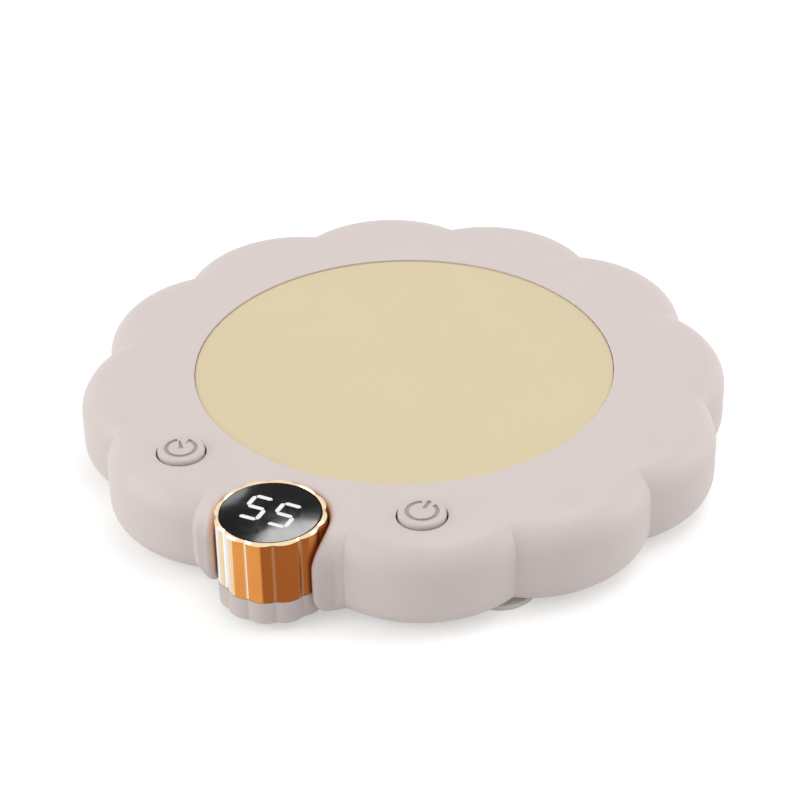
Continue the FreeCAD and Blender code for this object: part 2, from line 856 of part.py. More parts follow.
def main_screw_spots():
    """Plan positions of the main board's screws."""
    x = main_board_half_width - board_screw_inset
    rows = (main_board_front + board_screw_inset, main_board_back - board_screw_inset)
    return [(side * x, y) for side in (-1, 1) for y in rows]


def rounded_plate(x_range, y_range, low, high, corner):
    """Flat plate with rounded upright corners."""
    plate = block(x_range, y_range, (low, high))
    upright = [edge for edge in plate.Edges if abs(edge.tangentAt(0).z) > 0.9]
    return plate.makeFillet(corner, upright)


def main_board():
    """Board with a tongue that reaches back to the inlet."""
    half = main_board_half_width
    board = rounded_plate((-half, half), (main_board_front, main_board_back),
                          board_bottom, board_top, board_corner)
    tongue = block((-board_tongue_half_width, board_tongue_half_width),
                   (main_board_back - board_tongue_lap, board_tongue_back), (board_bottom, board_top))
    holes = [disc(small_shaft_radius + small_screw_room, board_bottom - overrun, board_top + overrun, x, y)
             for x, y in main_screw_spots()]
    return less(fused([board, tongue]), holes)


def power_inlet():
    """Sheet-metal socket with an oval mouth and a contact tongue inside."""
    back = inlet_mouth - inlet_depth
    half = tongue_thickness / 2
    can = stadium(inlet_width, inlet_height, (back, inlet_mouth), inlet_level)
    room = stadium(inlet_width - 2 * inlet_sheet, inlet_height - 2 * inlet_sheet,
                   (back + inlet_back_wall, inlet_mouth + overrun), inlet_level)
    tongue = block((-tongue_half_width, tongue_half_width),
                   (back + inlet_back_wall - overlap, inlet_mouth - tongue_setback),
                   (inlet_level - half, inlet_level + half))
    return can.cut(room).fuse(tongue).removeSplitter()


def control_chip():
    """Flat square controller with a marked corner."""
    top = board_top + chip_height
    chip = centred_block(chip_spot, chip_side, chip_side, board_top, top)
    x = chip_spot[0] - chip_side / 2 + chip_dot_inset
    y = chip_spot[1] + chip_side / 2 - chip_dot_inset
    return chip.cut(disc(chip_dot_radius, top - chip_dot_depth, top + overrun, x, y))


def power_transistor():
    """Switching transistor with its tab and three legs."""
    x, y = transistor_spot
    width, depth, height = transistor_size
    pieces = [centred_block(transistor_spot, width, depth, board_top, board_top + height)]
    tab_y = y + (depth + transistor_tab[1]) / 2
    pieces.append(centred_block((x, tab_y), transistor_tab[0], transistor_tab[1], board_top,
                                board_top + transistor_tab[2]))
    leg_y = y - (depth + transistor_leg[1]) / 2
    for place in (-1, 0, 1):
        spot = (x + place * transistor_leg_pitch, leg_y)
        pieces.append(centred_block(spot, transistor_leg[0], transistor_leg[1], board_top,
                                    board_top + transistor_leg[2]))
    return fused(pieces)


def filter_capacitor():
    """Low can on a square foot."""
    side, height = capacitor_foot
    foot = centred_block(capacitor_spot, side, side, board_top, board_top + height)
    can = edged_disc(capacitor_radius, board_top + height, board_top + capacitor_height, can_bevel, 0)
    return foot.fuse(moved(can, *capacitor_spot))


def buzzer():
    """Flat round sounder with a hole in its lid."""
    top = board_top + buzzer_height
    can = edged_disc(buzzer_radius, board_top, top, can_bevel, 0)
    hole = disc(buzzer_hole_radius, top - buzzer_hole_depth, top + overrun)
    return moved(can.cut(hole), *buzzer_spot)


def connector_box(x, half_width, y_range, top=connector_top):
    """Plain connector housing that stands on the main board."""
    return block((x - half_width, x + half_width), y_range, (board_top, top))


def board_connectors():
    """Connector housings for the sensor, heater, cut-out and panel leads."""
    front = (main_board_front, main_board_front + connector_depth)
    middle = (-connector_depth / 2, connector_depth / 2)
    back = (lead_y - heater_connector_half_depth, lead_y + heater_connector_half_depth)
    boxes = [connector_box(0, sensor_connector_half_width, middle)]
    boxes.append(connector_box(0, heater_connector_half_width, back))
    fuse_top = fuse_level + lead_radius + connector_wall / 2
    boxes.append(connector_box(fuse_spot[0] - fuse_return_offset / 2, fuse_connector_half_width,
                               front, fuse_top))
    boxes.append(connector_box(panel_x, panel_ribbon_width / 2 + connector_wall, front))
    return boxes


def panel_lead():
    """Ribbon from the control board along the floor to the main board."""
    lie = floor_top + ribbon_thickness / 2
    enter = board_top + connector_height / 2
    drop_y = -math.sqrt(control_board_inner ** 2 - panel_x ** 2) - ribbon_setback
    rise_y = main_board_front - panel_rise_step
    route = [(panel_x, drop_y, control_board_bottom), (panel_x, drop_y, lie)]
    route += [(panel_x, rise_y, lie), (panel_x, rise_y, enter), (panel_x, main_board_front, enter)]
    return ribbon(route, ribbon_bend, panel_ribbon_width, ribbon_thickness)


def main_board_screws():
    """Screws that hold the main board to its standoffs."""
    return [standing_screw(x, y, board_top) for x, y in main_screw_spots()]


def control_screw_spots():
    """Plan positions of the control board's screws."""
    return [polar(control_screw_circle, -90 + side * control_screw_angle) for side in (-1, 1)]


def control_board():
    """Curved board that passes behind the knob bay and carries both switches."""
    start = -90 - control_board_half_angle
    end = -90 + control_board_half_angle
    board = sector(control_board_inner, control_board_outer, start, end,
                   control_board_bottom, control_board_top)
    low, high = control_board_bottom - overrun, control_board_top + overrun
    cuts = [at_knob(disc(bay_outer_radius + control_board_bay_gap, low, high))]
    half = bay_outer_radius + control_board_front_margin
    front = knob_axis_y + control_board_front_step
    cuts.append(block((-half, half), (-petal_reach, front), (low, high)))
    for x, y in control_screw_spots():
        cuts.append(disc(small_shaft_radius + small_screw_room, low, high, x, y))
    return less(board, cuts)


def control_board_screws():
    """Screws that hold the control board to its standoffs."""
    return [standing_screw(x, y, control_board_top) for x, y in control_screw_spots()]


def switch_body(x, y):
    """Square switch with a round well for its plunger."""
    half = switch_size / 2
    body = rounded_plate((x - half, x + half), (y - half, y + half), control_board_top, switch_top,
                         switch_corner)
    return body.cut(disc(plunger_radius + plunger_gap, switch_top - well_floor, switch_top + overrun, x, y))


def plunger(x, y):
    """Round plunger of a switch, moved by the button above it."""
    rod = edged_disc(plunger_radius, switch_top - plunger_depth, plunger_top, plunger_bevel, 0)
    return moved(rod, x, y)


def button_key(x, y, gap, z_range):
    """Rib on both sides of a button that keeps it from turning."""
    reach = cap_radius + key_reach + gap
    half = key_width / 2 + gap
    return block((x - reach, x + reach), (y - half, y + half), z_range)


def button_cap(x, y):
    """Push cap with a rounded shoulder, a retaining flange, a pusher and guide ribs."""
    cap = edged_disc(cap_radius, flange_top, cap_top, button_round, 0, rounded=True)
    flange = disc(button_hole_radius + collar_wall - flange_gap, flange_bottom, flange_top)
    pusher = disc(stem_pad_radius, plunger_top, flange_bottom)
    key = button_key(0, 0, 0, (flange_top, roof - key_drop))
    return moved(fused([cap, flange, pusher, key]), x, y)


def lobe_circle():
    """Ring radius and lobe radius of the flutes, from their tips and valleys."""
    half = math.radians(180.0 / lobe_count)
    x = lobe_valley_radius * math.cos(half)
    y = lobe_valley_radius * math.sin(half)
    centre = (lobe_tip_radius ** 2 - x ** 2 - y ** 2) / (2 * (lobe_tip_radius - x))
    return centre, lobe_tip_radius - centre


def fluted(low, high, top, bottom):
    """Fluted bar about the knob's axis, with a valley facing the front."""
    ring_radius, lobe_radius = lobe_circle()
    lobe = edged_disc(lobe_radius, low, high, top, bottom)
    first = first_petal_angle + 180.0 / lobe_count
    return at_knob(scalloped(lobe_count, ring_radius, lobe, first))


def knob_sleeve():
    """Fluted sleeve that is turned about the display's post."""
    sleeve = fluted(knob_bottom, knob_top, knob_rim_chamfer, 0)
    bore = disc(knob_bore_radius, knob_bottom - overrun, knob_top + overrun)
    bevel = Part.makeCone(knob_bore_radius, knob_bore_radius + knob_bore_bevel, knob_bore_bevel,
                          V(0, 0, knob_top - knob_bore_bevel), Z_AXIS)
    return sleeve.cut(at_knob(bore)).cut(at_knob(bevel))


def encoder_rotor():
    """Ring pressed into the sleeve, with teeth that the encoder reads."""
    rotor = ring(stem_radius + bearing_gap, knob_bore_radius, knob_bottom, rotor_top)
    inner = stem_radius + tooth_step
    step = 360.0 / rotor_teeth
    slots = [sector(inner, inner + tooth_width, index * step, (index + 0.5) * step,
                    knob_bottom - overrun, knob_bottom + tooth_depth) for index in range(rotor_teeth)]
    return at_knob(less(rotor, slots))


def knob_plinth():
    """Fixed fluted foot under the sleeve, hollow above and below its web."""
    removed = [at_knob(disc(plinth_bore_radius, web_top, plinth_top + overrun))]
    removed.append(at_knob(disc(plinth_bore_radius, plinth_bottom - overrun, floor_top)))
    removed.append(at_knob(disc(stem_bore_radius, floor_top - overrun, web_top + overrun)))
    for side in (-1, 1):
        removed.append(disc(small_shaft_radius + small_screw_room, floor_top - overrun,
                            web_top + overrun, side * post_screw_offset, knob_axis_y))
    removed.append(neck_passage(plinth_bottom - overrun))
    return less(fluted(plinth_bottom, plinth_top, 0, plinth_bevel), removed)


def display_column():
    """Fixed post inside the knob: a cup for the display on a hollow stem."""
    band_radius = knob_bore_radius - bearing_gap
    pieces = [disc(post_radius, post_shoulder, lens_bottom), disc(stem_radius, web_top, post_shoulder)]
    pieces.append(disc(band_radius, lens_bottom - upper_band[1], lens_bottom - upper_band[0]))
    pieces.append(disc(band_radius, post_shoulder + lower_band[0], post_shoulder + lower_band[1]))
    cup_floor = post_shoulder + post_floor
    removed = [disc(post_bore_radius, module_board_bottom, lens_bottom + overrun)]
    removed.append(disc(post_bore_radius - post_inner_step, cup_floor, module_board_bottom + overrun))
    removed.append(disc(stem_bore_radius, web_top - overrun, cup_floor + overrun))
    for side in (-1, 1):
        removed.append(pilot(side * post_screw_offset, 0, small_shaft_radius, web_top - overrun,
                             web_top + post_screw_grip + screw_room))
    return at_knob(less(fused(pieces), removed))


def bar_outline(reach, turned_up):
    """Six-sided bar with pointed ends, lying along X or standing along Y."""
    point = segment_width / 2
    flat = reach - point
    level = [(-reach, 0), (-flat, point), (flat, point), (reach, 0), (flat, -point), (-flat, -point)]
    return [(y, x) for x, y in level] if turned_up else level


def segment_prisms():
    """The bars of each digit that are lit for a five, from their seats up past the lens."""
    rise = (digit_height - segment_width) / 4
    side = segment_length / 2
    level = bar_outline(side - segment_gap / 2, False)
    upright = bar_outline(rise - segment_gap / 2, True)
    places = [(level, 0, row * 2 * rise) for row in (-1, 0, 1)]
    places += [(upright, side, -rise), (upright, -side, rise)]
    bars = []
    for index in range(digit_count):
        x = (index - (digit_count - 1) / 2) * digit_pitch
        for outline, dx, dy in places:
            points = [(x + dx + px, knob_axis_y + dy + py) for px, py in outline]
            bars.append(slab(points, lens_edge - segment_depth, lens_edge + lens_crown + overrun))
    return bars


def lens_form():
    """Round lens with a bevelled edge and a crowned top."""
    edge = lens_radius - lens_bevel
    curve = (edge ** 2 + lens_crown ** 2) / (2 * lens_crown)
    apex = lens_edge + lens_crown
    middle = V(edge / 2, 0, apex - curve + math.sqrt(curve ** 2 - edge ** 2 / 4))
    points = [V(0, 0, apex), V(0, 0, lens_bottom), V(lens_radius, 0, lens_bottom)]
    points += [V(lens_radius, 0, lens_edge - lens_bevel), V(edge, 0, lens_edge)]
    edges = [Part.makeLine(first, last) for first, last in zip(points, points[1:])]
    edges.append(Part.Arc(points[-1], middle, points[0]).toShape())
    return at_knob(Part.Face(Part.Wire(edges)).revolve(V(0, 0, 0), Z_AXIS, 360))


def digit_segments(lens):
    """Light guides set flush in the lens."""
    return [bar.common(lens) for bar in segment_prisms()]


def display_lens(lens):
    """Dark round lens with pockets for the light guides."""
    return less(lens, segment_prisms())


def display_module():
    """Round reflector block with a well under each digit, on its own small board."""
    module = disc(module_radius, module_board_bottom, lens_bottom)
    wells = []
    for index in range(digit_count):
        x = (index - (digit_count - 1) / 2) * digit_pitch
        wells.append(centred_block((x, 0), segment_length + 2 * well_margin,
                                   digit_height + 2 * well_margin, lens_bottom - well_depth,
                                   lens_bottom + overrun))
    return at_knob(less(module, wells))


def display_lead():
    """Ribbon down the post, along the neck and up to the control board."""
    lie = floor_top + ribbon_thickness / 2
    rise_y = -control_board_inner - ribbon_setback
    route = [(0, knob_axis_y, module_board_bottom), (0, knob_axis_y, lie), (0, rise_y, lie)]
    route.append((0, rise_y, control_board_bottom))
    return ribbon(route, ribbon_bend, display_ribbon_width, ribbon_thickness)


def display_screws():
    """Two countersunk screws that hold the post and plinth to the base's tongue."""
    shaft = disc(small_shaft_radius, body_bottom, web_top + post_screw_grip)
    screw = screw_cone(0).fuse(shaft).removeSplitter()
    return [moved(screw, side * post_screw_offset, knob_axis_y) for side in (-1, 1)]


def encoder_board():
    """Ring board on the plinth's web with two pick-ups under the rotor's teeth."""
    board = ring(stem_radius + fit_gap, plinth_bore_radius - fit_gap, web_top, encoder_board_top)
    inner = stem_radius + tooth_step / 2
    pads = [sector(inner, inner + tooth_width, angle - pickup_half_angle, angle + pickup_half_angle,
                   encoder_board_top - overlap, plinth_top - pickup_gap) for angle in pickup_angles]
    return at_knob(fused([board] + pads))


def base_screws():
    """Four long screws, hidden by the feet, that close the housing."""
    length = pad_top - head_seat + base_screw_grip
    return [hanging_screw(*polar(foot_circle, angle), head_seat, length, screw_shaft_radius,
                          screw_head_radius, screw_head_height) for angle in foot_angles]


def feet():
    """Four soft feet, each with a spigot in the base cover."""
    flange = edged_disc(foot_radius, foot_bottom, body_bottom, *foot_bevels)
    foot = flange.fuse(disc(foot_spigot_radius, body_bottom, spigot_top)).removeSplitter()
    return [moved(foot, *polar(foot_circle, angle)) for angle in foot_angles]


def build():
    """All nodes by name."""
    form = housing_form()
    lens = lens_form()
    left, right = button_spots()
    nodes = {"top_shell": top_shell(form), "base_cover": base_cover(form)}
    for maker in (hot_plate, plate_seal, heater_film, heater_track, heat_spreader, insulation_pad,
                  heater_pan, pan_screws, thermistor, sensor_leads, heater_leads, thermal_fuse,
                  fuse_leads, fuse_clip, main_board, power_inlet, control_chip, power_transistor,
                  filter_capacitor, buzzer, board_connectors, panel_lead, main_board_screws,
                  control_board, control_board_screws, knob_sleeve, encoder_rotor, encoder_board,
                  knob_plinth, display_column, display_module, display_lead, display_screws,
                  base_screws, feet):
        nodes[maker.__name__] = maker()
    nodes["display_lens"] = display_lens(lens)
    nodes["digit_segments"] = digit_segments(lens)
    nodes["left_switch"] = switch_body(*left)
    nodes["right_switch"] = switch_body(*right)
    nodes["left_switch_plunger"] = plunger(*left)
    nodes["right_switch_plunger"] = plunger(*right)
    nodes["left_button"] = button_cap(*left)
    nodes["right_button"] = button_cap(*right)
    return nodes


def export(nodes):
    """Write one file per node and print what each holds."""
    os.makedirs("parts", exist_ok=True)
    for name, shape in nodes.items():
        if isinstance(shape, list):
            shape = Part.makeCompound(shape)
        shape.exportStep("parts/" + name + ".step")
        print(name, "solids", len(shape.Solids), "volume", round(shape.Volume, 2), "valid", shape.isValid())


export(build())
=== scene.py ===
"""Finishes, studio and camera for the flower-shaped mug warmer, laid out as an add-on.

Lengths are in metres. The origin is the centre of the hot plate's top face, +Z is up
and the knob lies towards -Y.
"""
import json
import math
import bpy
from bpy.props import FloatProperty, FloatVectorProperty, IntProperty, PointerProperty
from mathutils import Matrix, Vector

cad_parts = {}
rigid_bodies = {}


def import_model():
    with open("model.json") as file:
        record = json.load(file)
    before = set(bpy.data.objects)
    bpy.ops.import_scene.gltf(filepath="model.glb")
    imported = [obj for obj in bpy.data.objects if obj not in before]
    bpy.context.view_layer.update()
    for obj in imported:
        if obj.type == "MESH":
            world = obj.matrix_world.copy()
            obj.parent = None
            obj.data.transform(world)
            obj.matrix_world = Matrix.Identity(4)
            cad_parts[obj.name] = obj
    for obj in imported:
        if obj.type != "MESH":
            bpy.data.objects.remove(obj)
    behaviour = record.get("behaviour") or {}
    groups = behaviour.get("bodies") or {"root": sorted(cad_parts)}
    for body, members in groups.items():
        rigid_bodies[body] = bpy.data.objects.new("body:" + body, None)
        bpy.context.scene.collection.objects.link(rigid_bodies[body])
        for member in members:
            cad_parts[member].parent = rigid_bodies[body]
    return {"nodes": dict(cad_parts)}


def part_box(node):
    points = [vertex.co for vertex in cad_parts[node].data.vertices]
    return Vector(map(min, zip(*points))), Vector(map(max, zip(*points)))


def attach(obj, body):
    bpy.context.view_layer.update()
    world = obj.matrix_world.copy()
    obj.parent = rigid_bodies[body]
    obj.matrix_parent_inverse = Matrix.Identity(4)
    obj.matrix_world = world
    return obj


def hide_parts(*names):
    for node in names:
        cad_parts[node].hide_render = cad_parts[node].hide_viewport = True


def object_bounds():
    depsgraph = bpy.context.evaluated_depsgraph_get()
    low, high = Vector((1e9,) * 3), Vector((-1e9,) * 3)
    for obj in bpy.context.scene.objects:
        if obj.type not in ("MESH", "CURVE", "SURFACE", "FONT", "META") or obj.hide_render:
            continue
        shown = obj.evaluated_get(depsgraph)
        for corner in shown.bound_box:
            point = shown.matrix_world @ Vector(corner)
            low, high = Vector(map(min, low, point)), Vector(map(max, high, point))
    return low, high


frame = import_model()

cad_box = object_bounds()

bl_info = {
    "name": "Mug Warmer Finishes",
    "version": (1, 0, 0),
    "blender": (4, 5, 0),
    "location": "3D View > Sidebar > Warmer",
    "description": "Finishes the packed mug warmer and sets up its studio",
    "category": "Object",
}

MILLIMETRE = 0.001
MERGE_REACH = 0.001 * MILLIMETRE
PLAN = (1.0, 1.0, 0.0)

# Packed places that the finishes and the studio are set out from.
FLOOR_LEVEL = cad_box[0].z
KNOB_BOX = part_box("knob_sleeve")
KNOB_AXIS = (KNOB_BOX[0] + KNOB_BOX[1]) / 2
LENS_TOP = Vector((KNOB_AXIS.x, KNOB_AXIS.y, KNOB_BOX[1].z))
LENS_REACH = 9.43 * MILLIMETRE
LENS_CROWN = 0.25 * MILLIMETRE

# Parts of the knob with a painted highlight: its top rim, and the valleys between its flutes.
RIM_HEIGHT = 0.4 * MILLIMETRE
VALLEY_FLOOR = 10.08 * MILLIMETRE
VALLEY_EDGE = 10.18 * MILLIMETRE

# Signs sunk in the button caps.
SIGN_DEPTH = 0.35 * MILLIMETRE
SIGN_REACH = 3.6 * MILLIMETRE
RING_INNER = 2.4 * MILLIMETRE
RING_OUTER = 3.24 * MILLIMETRE

# Bars of the lit number.
DIGIT_OFFSET = 2.95 * MILLIMETRE
DIGIT_HALF_WIDTH = 1.815 * MILLIMETRE
BAR_HALF_WIDTH = 0.44 * MILLIMETRE
BAR_GAP = 0.13 * MILLIMETRE
BAR_RISE = 0.04 * MILLIMETRE
BAR_POINT = 0.96

# Contacts on each side of the power inlet's tongue.
CONTACT_SIZE = Vector((0.3, 3.4, 0.08)) * MILLIMETRE
CONTACT_PITCH = 0.75 * MILLIMETRE
CONTACT_INSET = 3.0 * MILLIMETRE
CONTACT_RISE = 0.37 * MILLIMETRE

# Card that shows only in the knob's metal, and the glow of its three parts.
CARD_RADIUS = 15.0 * MILLIMETRE
CARD_DROP = 2.0 * MILLIMETRE
CARD_HALF_TURN = math.radians(78)
CARD_LEFT_FADE = (math.radians(-29), math.radians(-27))
CARD_RIGHT_FADE = (math.radians(14), math.radians(17))
CARD_LEFT_GLOW = (1.1, 1.9, 3.6)
CARD_GLOW = (0.95, 0.9, 0.85)
CARD_RIGHT_GLOW = (0.43, 0.29, 0.24)

# Levels and tints of the studio.
FLOOR_GLOW = 0.42
LOW_LAMP_TINT = (0.98, 1.0, 0.95)
LEFT_GLINT_SHARE = 0.3


def screen(red, green, blue):
    """Linear colour of a shade given in screen values from 0 to 255."""
    shares = [value / 255 for value in (red, green, blue)]
    return tuple(s / 12.92 if s <= 0.04045 else ((s + 0.055) / 1.055) ** 2.4 for s in shares)


def colour(name, description, shade):
    """Colour property with a default given in screen values."""
    return FloatVectorProperty(name=name, description=description, subtype="COLOR",
                               size=3, min=0.0, max=1.0, default=screen(*shade))


def factor(name, description, default, high=1.0):
    """Plain share property."""
    return FloatProperty(name=name, description=description, subtype="FACTOR",
                         min=0.0, max=high, default=default)


def length(name, description, default):
    """Length property in metres."""
    return FloatProperty(name=name, description=description, unit="LENGTH",
                         subtype="DISTANCE", precision=6, default=default)


def angle(name, description, degrees):
    """Angle property with a default given in degrees."""
    return FloatProperty(name=name, description=description, subtype="ANGLE",
                         default=math.radians(degrees))


def level(name, description, radiance):
    """Level property of a lamp."""
    return FloatProperty(name=name, description=description, min=0.0, default=radiance)


class WarmerColours(bpy.types.PropertyGroup):
    """Colours of the warmer's pieces."""

    housing: colour("Housing", "Moulded housing and plinth", (223, 210, 207))
    cap: colour("Button caps", "Moulded button caps", (217, 206, 202))
    plate: colour("Hot plate", "Enamel of the hot plate", (227, 210, 172))
    plate_fleck: colour("Plate fleck", "Fine flecks in the plate's enamel", (206, 188, 148))
    gold: colour("Gold", "Plated metal of the knob's flutes", (233, 158, 84))
    # This colour is a painted highlight, used on the knob's top rim and its flute valleys.
    rim_highlight: colour("Gold rim", "Polished rim at the knob's top", (250, 224, 186))
    lens: colour("Lens", "Dark window over the display", (13, 13, 14))
    digits: colour("Digits", "Light guides of the display", (226, 227, 228))
    foot: colour("Feet", "Soft feet", (240, 236, 230))
    board: colour("Boards", "Solder mask of the circuit boards", (22, 84, 58))
    felt: colour("Felt", "Insulation pad", (214, 206, 190))


class WarmerSurfaces(bpy.types.PropertyGroup):
    """Surface texture of the warmer's pieces."""

    grain_size: length("Grain size", "Size of the moulded grain", 0.35 * MILLIMETRE)
    grain_depth: length("Grain depth", "Depth of the moulded grain", 0.006 * MILLIMETRE)
    # The line along edges is a real polish in roughness and a painted highlight in colour.
    edge_radius: length("Edge radius", "Width of the polished line along edges", 0.35 * MILLIMETRE)
    plastic_roughness: factor("Plastic roughness", "Roughness of the housing", 0.44)
    plate_roughness: factor("Plate roughness", "Roughness of the plate's enamel", 0.4)
    gold_roughness: factor("Gold roughness", "Roughness of the knob's metal", 0.11)
    lens_roughness: factor("Lens roughness", "Roughness of the display's window", 0.09)


class WarmerStudio(bpy.types.PropertyGroup):
    """Camera, lamps and floor."""

    azimuth: angle("Camera azimuth", "Camera's turn round the warmer", 26.1395)
    elevation: angle("Camera elevation", "Camera's height above the horizon", 33.0193)
    roll: angle("Camera roll", "Camera's tilt about its own axis", -1.2061)
    distance: length("Camera distance", "Camera to the housing's top plane",
                     500.74 * MILLIMETRE)
    slide_right: length("Camera right", "Camera's shift to its right", -0.8 * MILLIMETRE)
    slide_up: length("Camera up", "Camera's shift upwards", -7.24 * MILLIMETRE)
    focal: FloatProperty(name="Lens", description="Focal length of the camera",
                         unit="CAMERA", default=112.085)
    sky: factor("Sky", "Level of the soft light from all round", 0.5, 2.0)
    key: level("Key lamp", "Radiance of the lamp on the left", 1.52)
    top: level("Top lamp", "Radiance of the lamp overhead", 1.62)
    front: level("Front lamp", "Radiance of the lamp in front", 0.86)
    side: level("Side lamp", "Radiance of the lamp on the right", 1.5)
    glint: level("Glint", "Radiance of the small lamps that show in the display's window", 38.0)
    floor_size: length("Floor size", "Side of the square floor", 6.0)


def node(tree, kind, inputs=None, **settings):
    """Add a node with its settings, and fill or link its inputs."""
    made = tree.nodes.new("ShaderNode" + kind)
    for key, value in settings.items():
        setattr(made, key, value)
    for key, value in (inputs or {}).items():
        if isinstance(value, bpy.types.NodeSocket):
            tree.links.new(value, made.inputs[key])
        else:
            made.inputs[key].default_value = value
    return made


def maths(tree, operation, *values, clamp=False):
    """Result of a Math node."""
    made = node(tree, "Math", dict(enumerate(values)), operation=operation, use_clamp=clamp)
    return made.outputs[0]


def blend(tree, share, first, second):
    """Colour mixed from first at share 0 to second at share 1."""
    made = node(tree, "Mix", data_type="RGBA")
    for index, value in ((0, share), (6, first), (7, second)):
        if isinstance(value, bpy.types.NodeSocket):
            tree.links.new(value, made.inputs[index])
        else:
            made.inputs[index].default_value = value
    return made.outputs[2]


def remap(tree, value, low, high, new_low, new_high):
    """Value carried from one range to another, kept inside it."""
    inputs = {"Value": value, "From Min": low, "From Max": high}
    inputs.update({"To Min": new_low, "To Max": new_high})
    return node(tree, "MapRange", inputs, clamp=True).outputs[0]


def opaque(shade, share=1.0):
    """Four-part colour for a socket, multiplied by share."""
    return tuple(part * share for part in shade) + (1.0,)


def grey(value):
    """Four-part neutral colour."""
    return opaque((value,) * 3)


def new_group(name, inputs, outputs):
    """Empty shader group with its sockets, and its two ends."""
    tree = bpy.data.node_groups.new(name, "ShaderNodeTree")
    for label, default in inputs.items():
        socket = tree.interface.new_socket(name=label, in_out="INPUT",
                                           socket_type="NodeSocketFloat")
        socket.default_value = default
    for label in outputs:
        tree.interface.new_socket(name=label, in_out="OUTPUT", socket_type="NodeSocketFloat")
    return tree, tree.nodes.new("NodeGroupInput"), tree.nodes.new("NodeGroupOutput")


def grain_group():
    """Moulded grain: a fine height and a slow drift of tone."""
    tree, start, end = new_group("Moulded Grain", {"Density": 2800.0}, ("Height", "Drift"))
    place = node(tree, "TexCoord").outputs["Object"]
    fine = node(tree, "TexNoise", {"Vector": place, "Scale": start.outputs["Density"],
                                   "Detail": 2.0, "Roughness": 0.6})
    coarse_density = maths(tree, "MULTIPLY", start.outputs["Density"], 0.03)
    coarse = node(tree, "TexNoise", {"Vector": place, "Scale": coarse_density, "Detail": 3.0})
    tree.links.new(fine.outputs[0], end.inputs["Height"])
    drift = remap(tree, coarse.outputs[0], 0.3, 0.7, 0.0, 1.0)
    tree.links.new(drift, end.inputs["Drift"])
    return tree


def edge_group():
    """Mask that is 1 along sharp edges and 0 on open faces."""
    tree, start, end = new_group("Edge Line", {"Radius": 0.4 * MILLIMETRE}, ("Mask",))
    rounded = node(tree, "Bevel", {"Radius": start.outputs["Radius"]}, samples=4)
    facing = node(tree, "NewGeometry").outputs["Normal"]
    match = node(tree, "VectorMath", {0: rounded.outputs[0], 1: facing},
                 operation="DOT_PRODUCT").outputs["Value"]
    tree.links.new(remap(tree, match, 0.99, 0.8, 0.0, 1.0), end.inputs["Mask"])
    return tree


def brush_group():
    """Brushed lines that run along the axis with the smallest input."""
    inputs = {"Density": 3000.0, "Along X": 1.0, "Along Y": 1.0, "Along Z": 0.03}
    tree, start, end = new_group("Brushed Lines", inputs, ("Height", "Drift"))
    place = node(tree, "TexCoord").outputs["Object"]
    stretch = node(tree, "CombineXYZ", {axis: start.outputs["Along " + axis] for axis in "XYZ"})
    along = node(tree, "VectorMath", {0: place, 1: stretch.outputs[0]}, operation="MULTIPLY")
    lines = node(tree, "TexNoise", {"Vector": along.outputs[0], "Detail": 3.0,
                                    "Scale": start.outputs["Density"]})
    drift = node(tree, "TexNoise", {"Vector": place, "Scale": 90.0, "Detail": 2.0})
    tree.links.new(lines.outputs[0], end.inputs["Height"])
    tree.links.new(remap(tree, drift.outputs[0], 0.3, 0.7, 0.0, 1.0), end.inputs["Drift"])
    return tree


GROUP_MAKERS = {"Moulded Grain": grain_group, "Edge Line": edge_group,
                "Brushed Lines": brush_group}


def effect(tree, name, **inputs):
    """Place a shared effect, made on first use; underscores in input names are spaces."""
    shared = bpy.data.node_groups.get(name) or GROUP_MAKERS[name]()
    placed = tree.nodes.new("ShaderNodeGroup")
    placed.node_tree = shared
    for key, value in inputs.items():
        placed.inputs[key.replace("_", " ")].default_value = value
    return placed.outputs


def new_material(name, **settings):
    """Material with a Principled shader, and constants set on its own sockets."""
    material = bpy.data.materials.new(name)
    material.use_nodes = True
    shader = material.node_tree.nodes["Principled BSDF"]
    for key, value in settings.items():
        shader.inputs[key.replace("_", " ")].default_value = value
    return material, material.node_tree, shader.inputs


def bumped(tree, sockets, height, depth):
    """Feed a height into the shader's normal."""
    bump = node(tree, "Bump", {"Height": height, "Distance": depth, "Strength": 1.0})
    tree.links.new(bump.outputs[0], sockets["Normal"])


def moulded(name, shade, surfaces, roughness, fleck=0.03, edge_highlight_lift=0.06, **settings):
    """Moulded plastic: fine grain, slow drift of tone, edges polished in roughness and a painted
    highlight along edges.
    """
    material, tree, sockets = new_material(name, **settings)
    grain = effect(tree, "Moulded Grain", Density=1.0 / surfaces.grain_size)
    edge = effect(tree, "Edge Line", Radius=surfaces.edge_radius)["Mask"]
    body = blend(tree, grain["Drift"], opaque(shade, 1.0 - fleck), opaque(shade))
    # Lighter colour along edges is a painted highlight; the lower roughness there is a real
    # polish.
    bright = tuple(min(part * (1 + edge_highlight_lift), 1.0) for part in shade)
    edge_highlighted = blend(tree, maths(tree, "MULTIPLY", edge, 0.6), body, opaque(bright))
    tree.links.new(edge_highlighted, sockets["Base Color"])
    drift = remap(tree, grain["Drift"], 0.0, 1.0, roughness - 0.04, roughness + 0.04)
    polished = maths(tree, "SUBTRACT", drift, maths(tree, "MULTIPLY", edge, 0.08))
    tree.links.new(polished, sockets["Roughness"])
    bumped(tree, sockets, grain["Height"], surfaces.grain_depth)
    return material


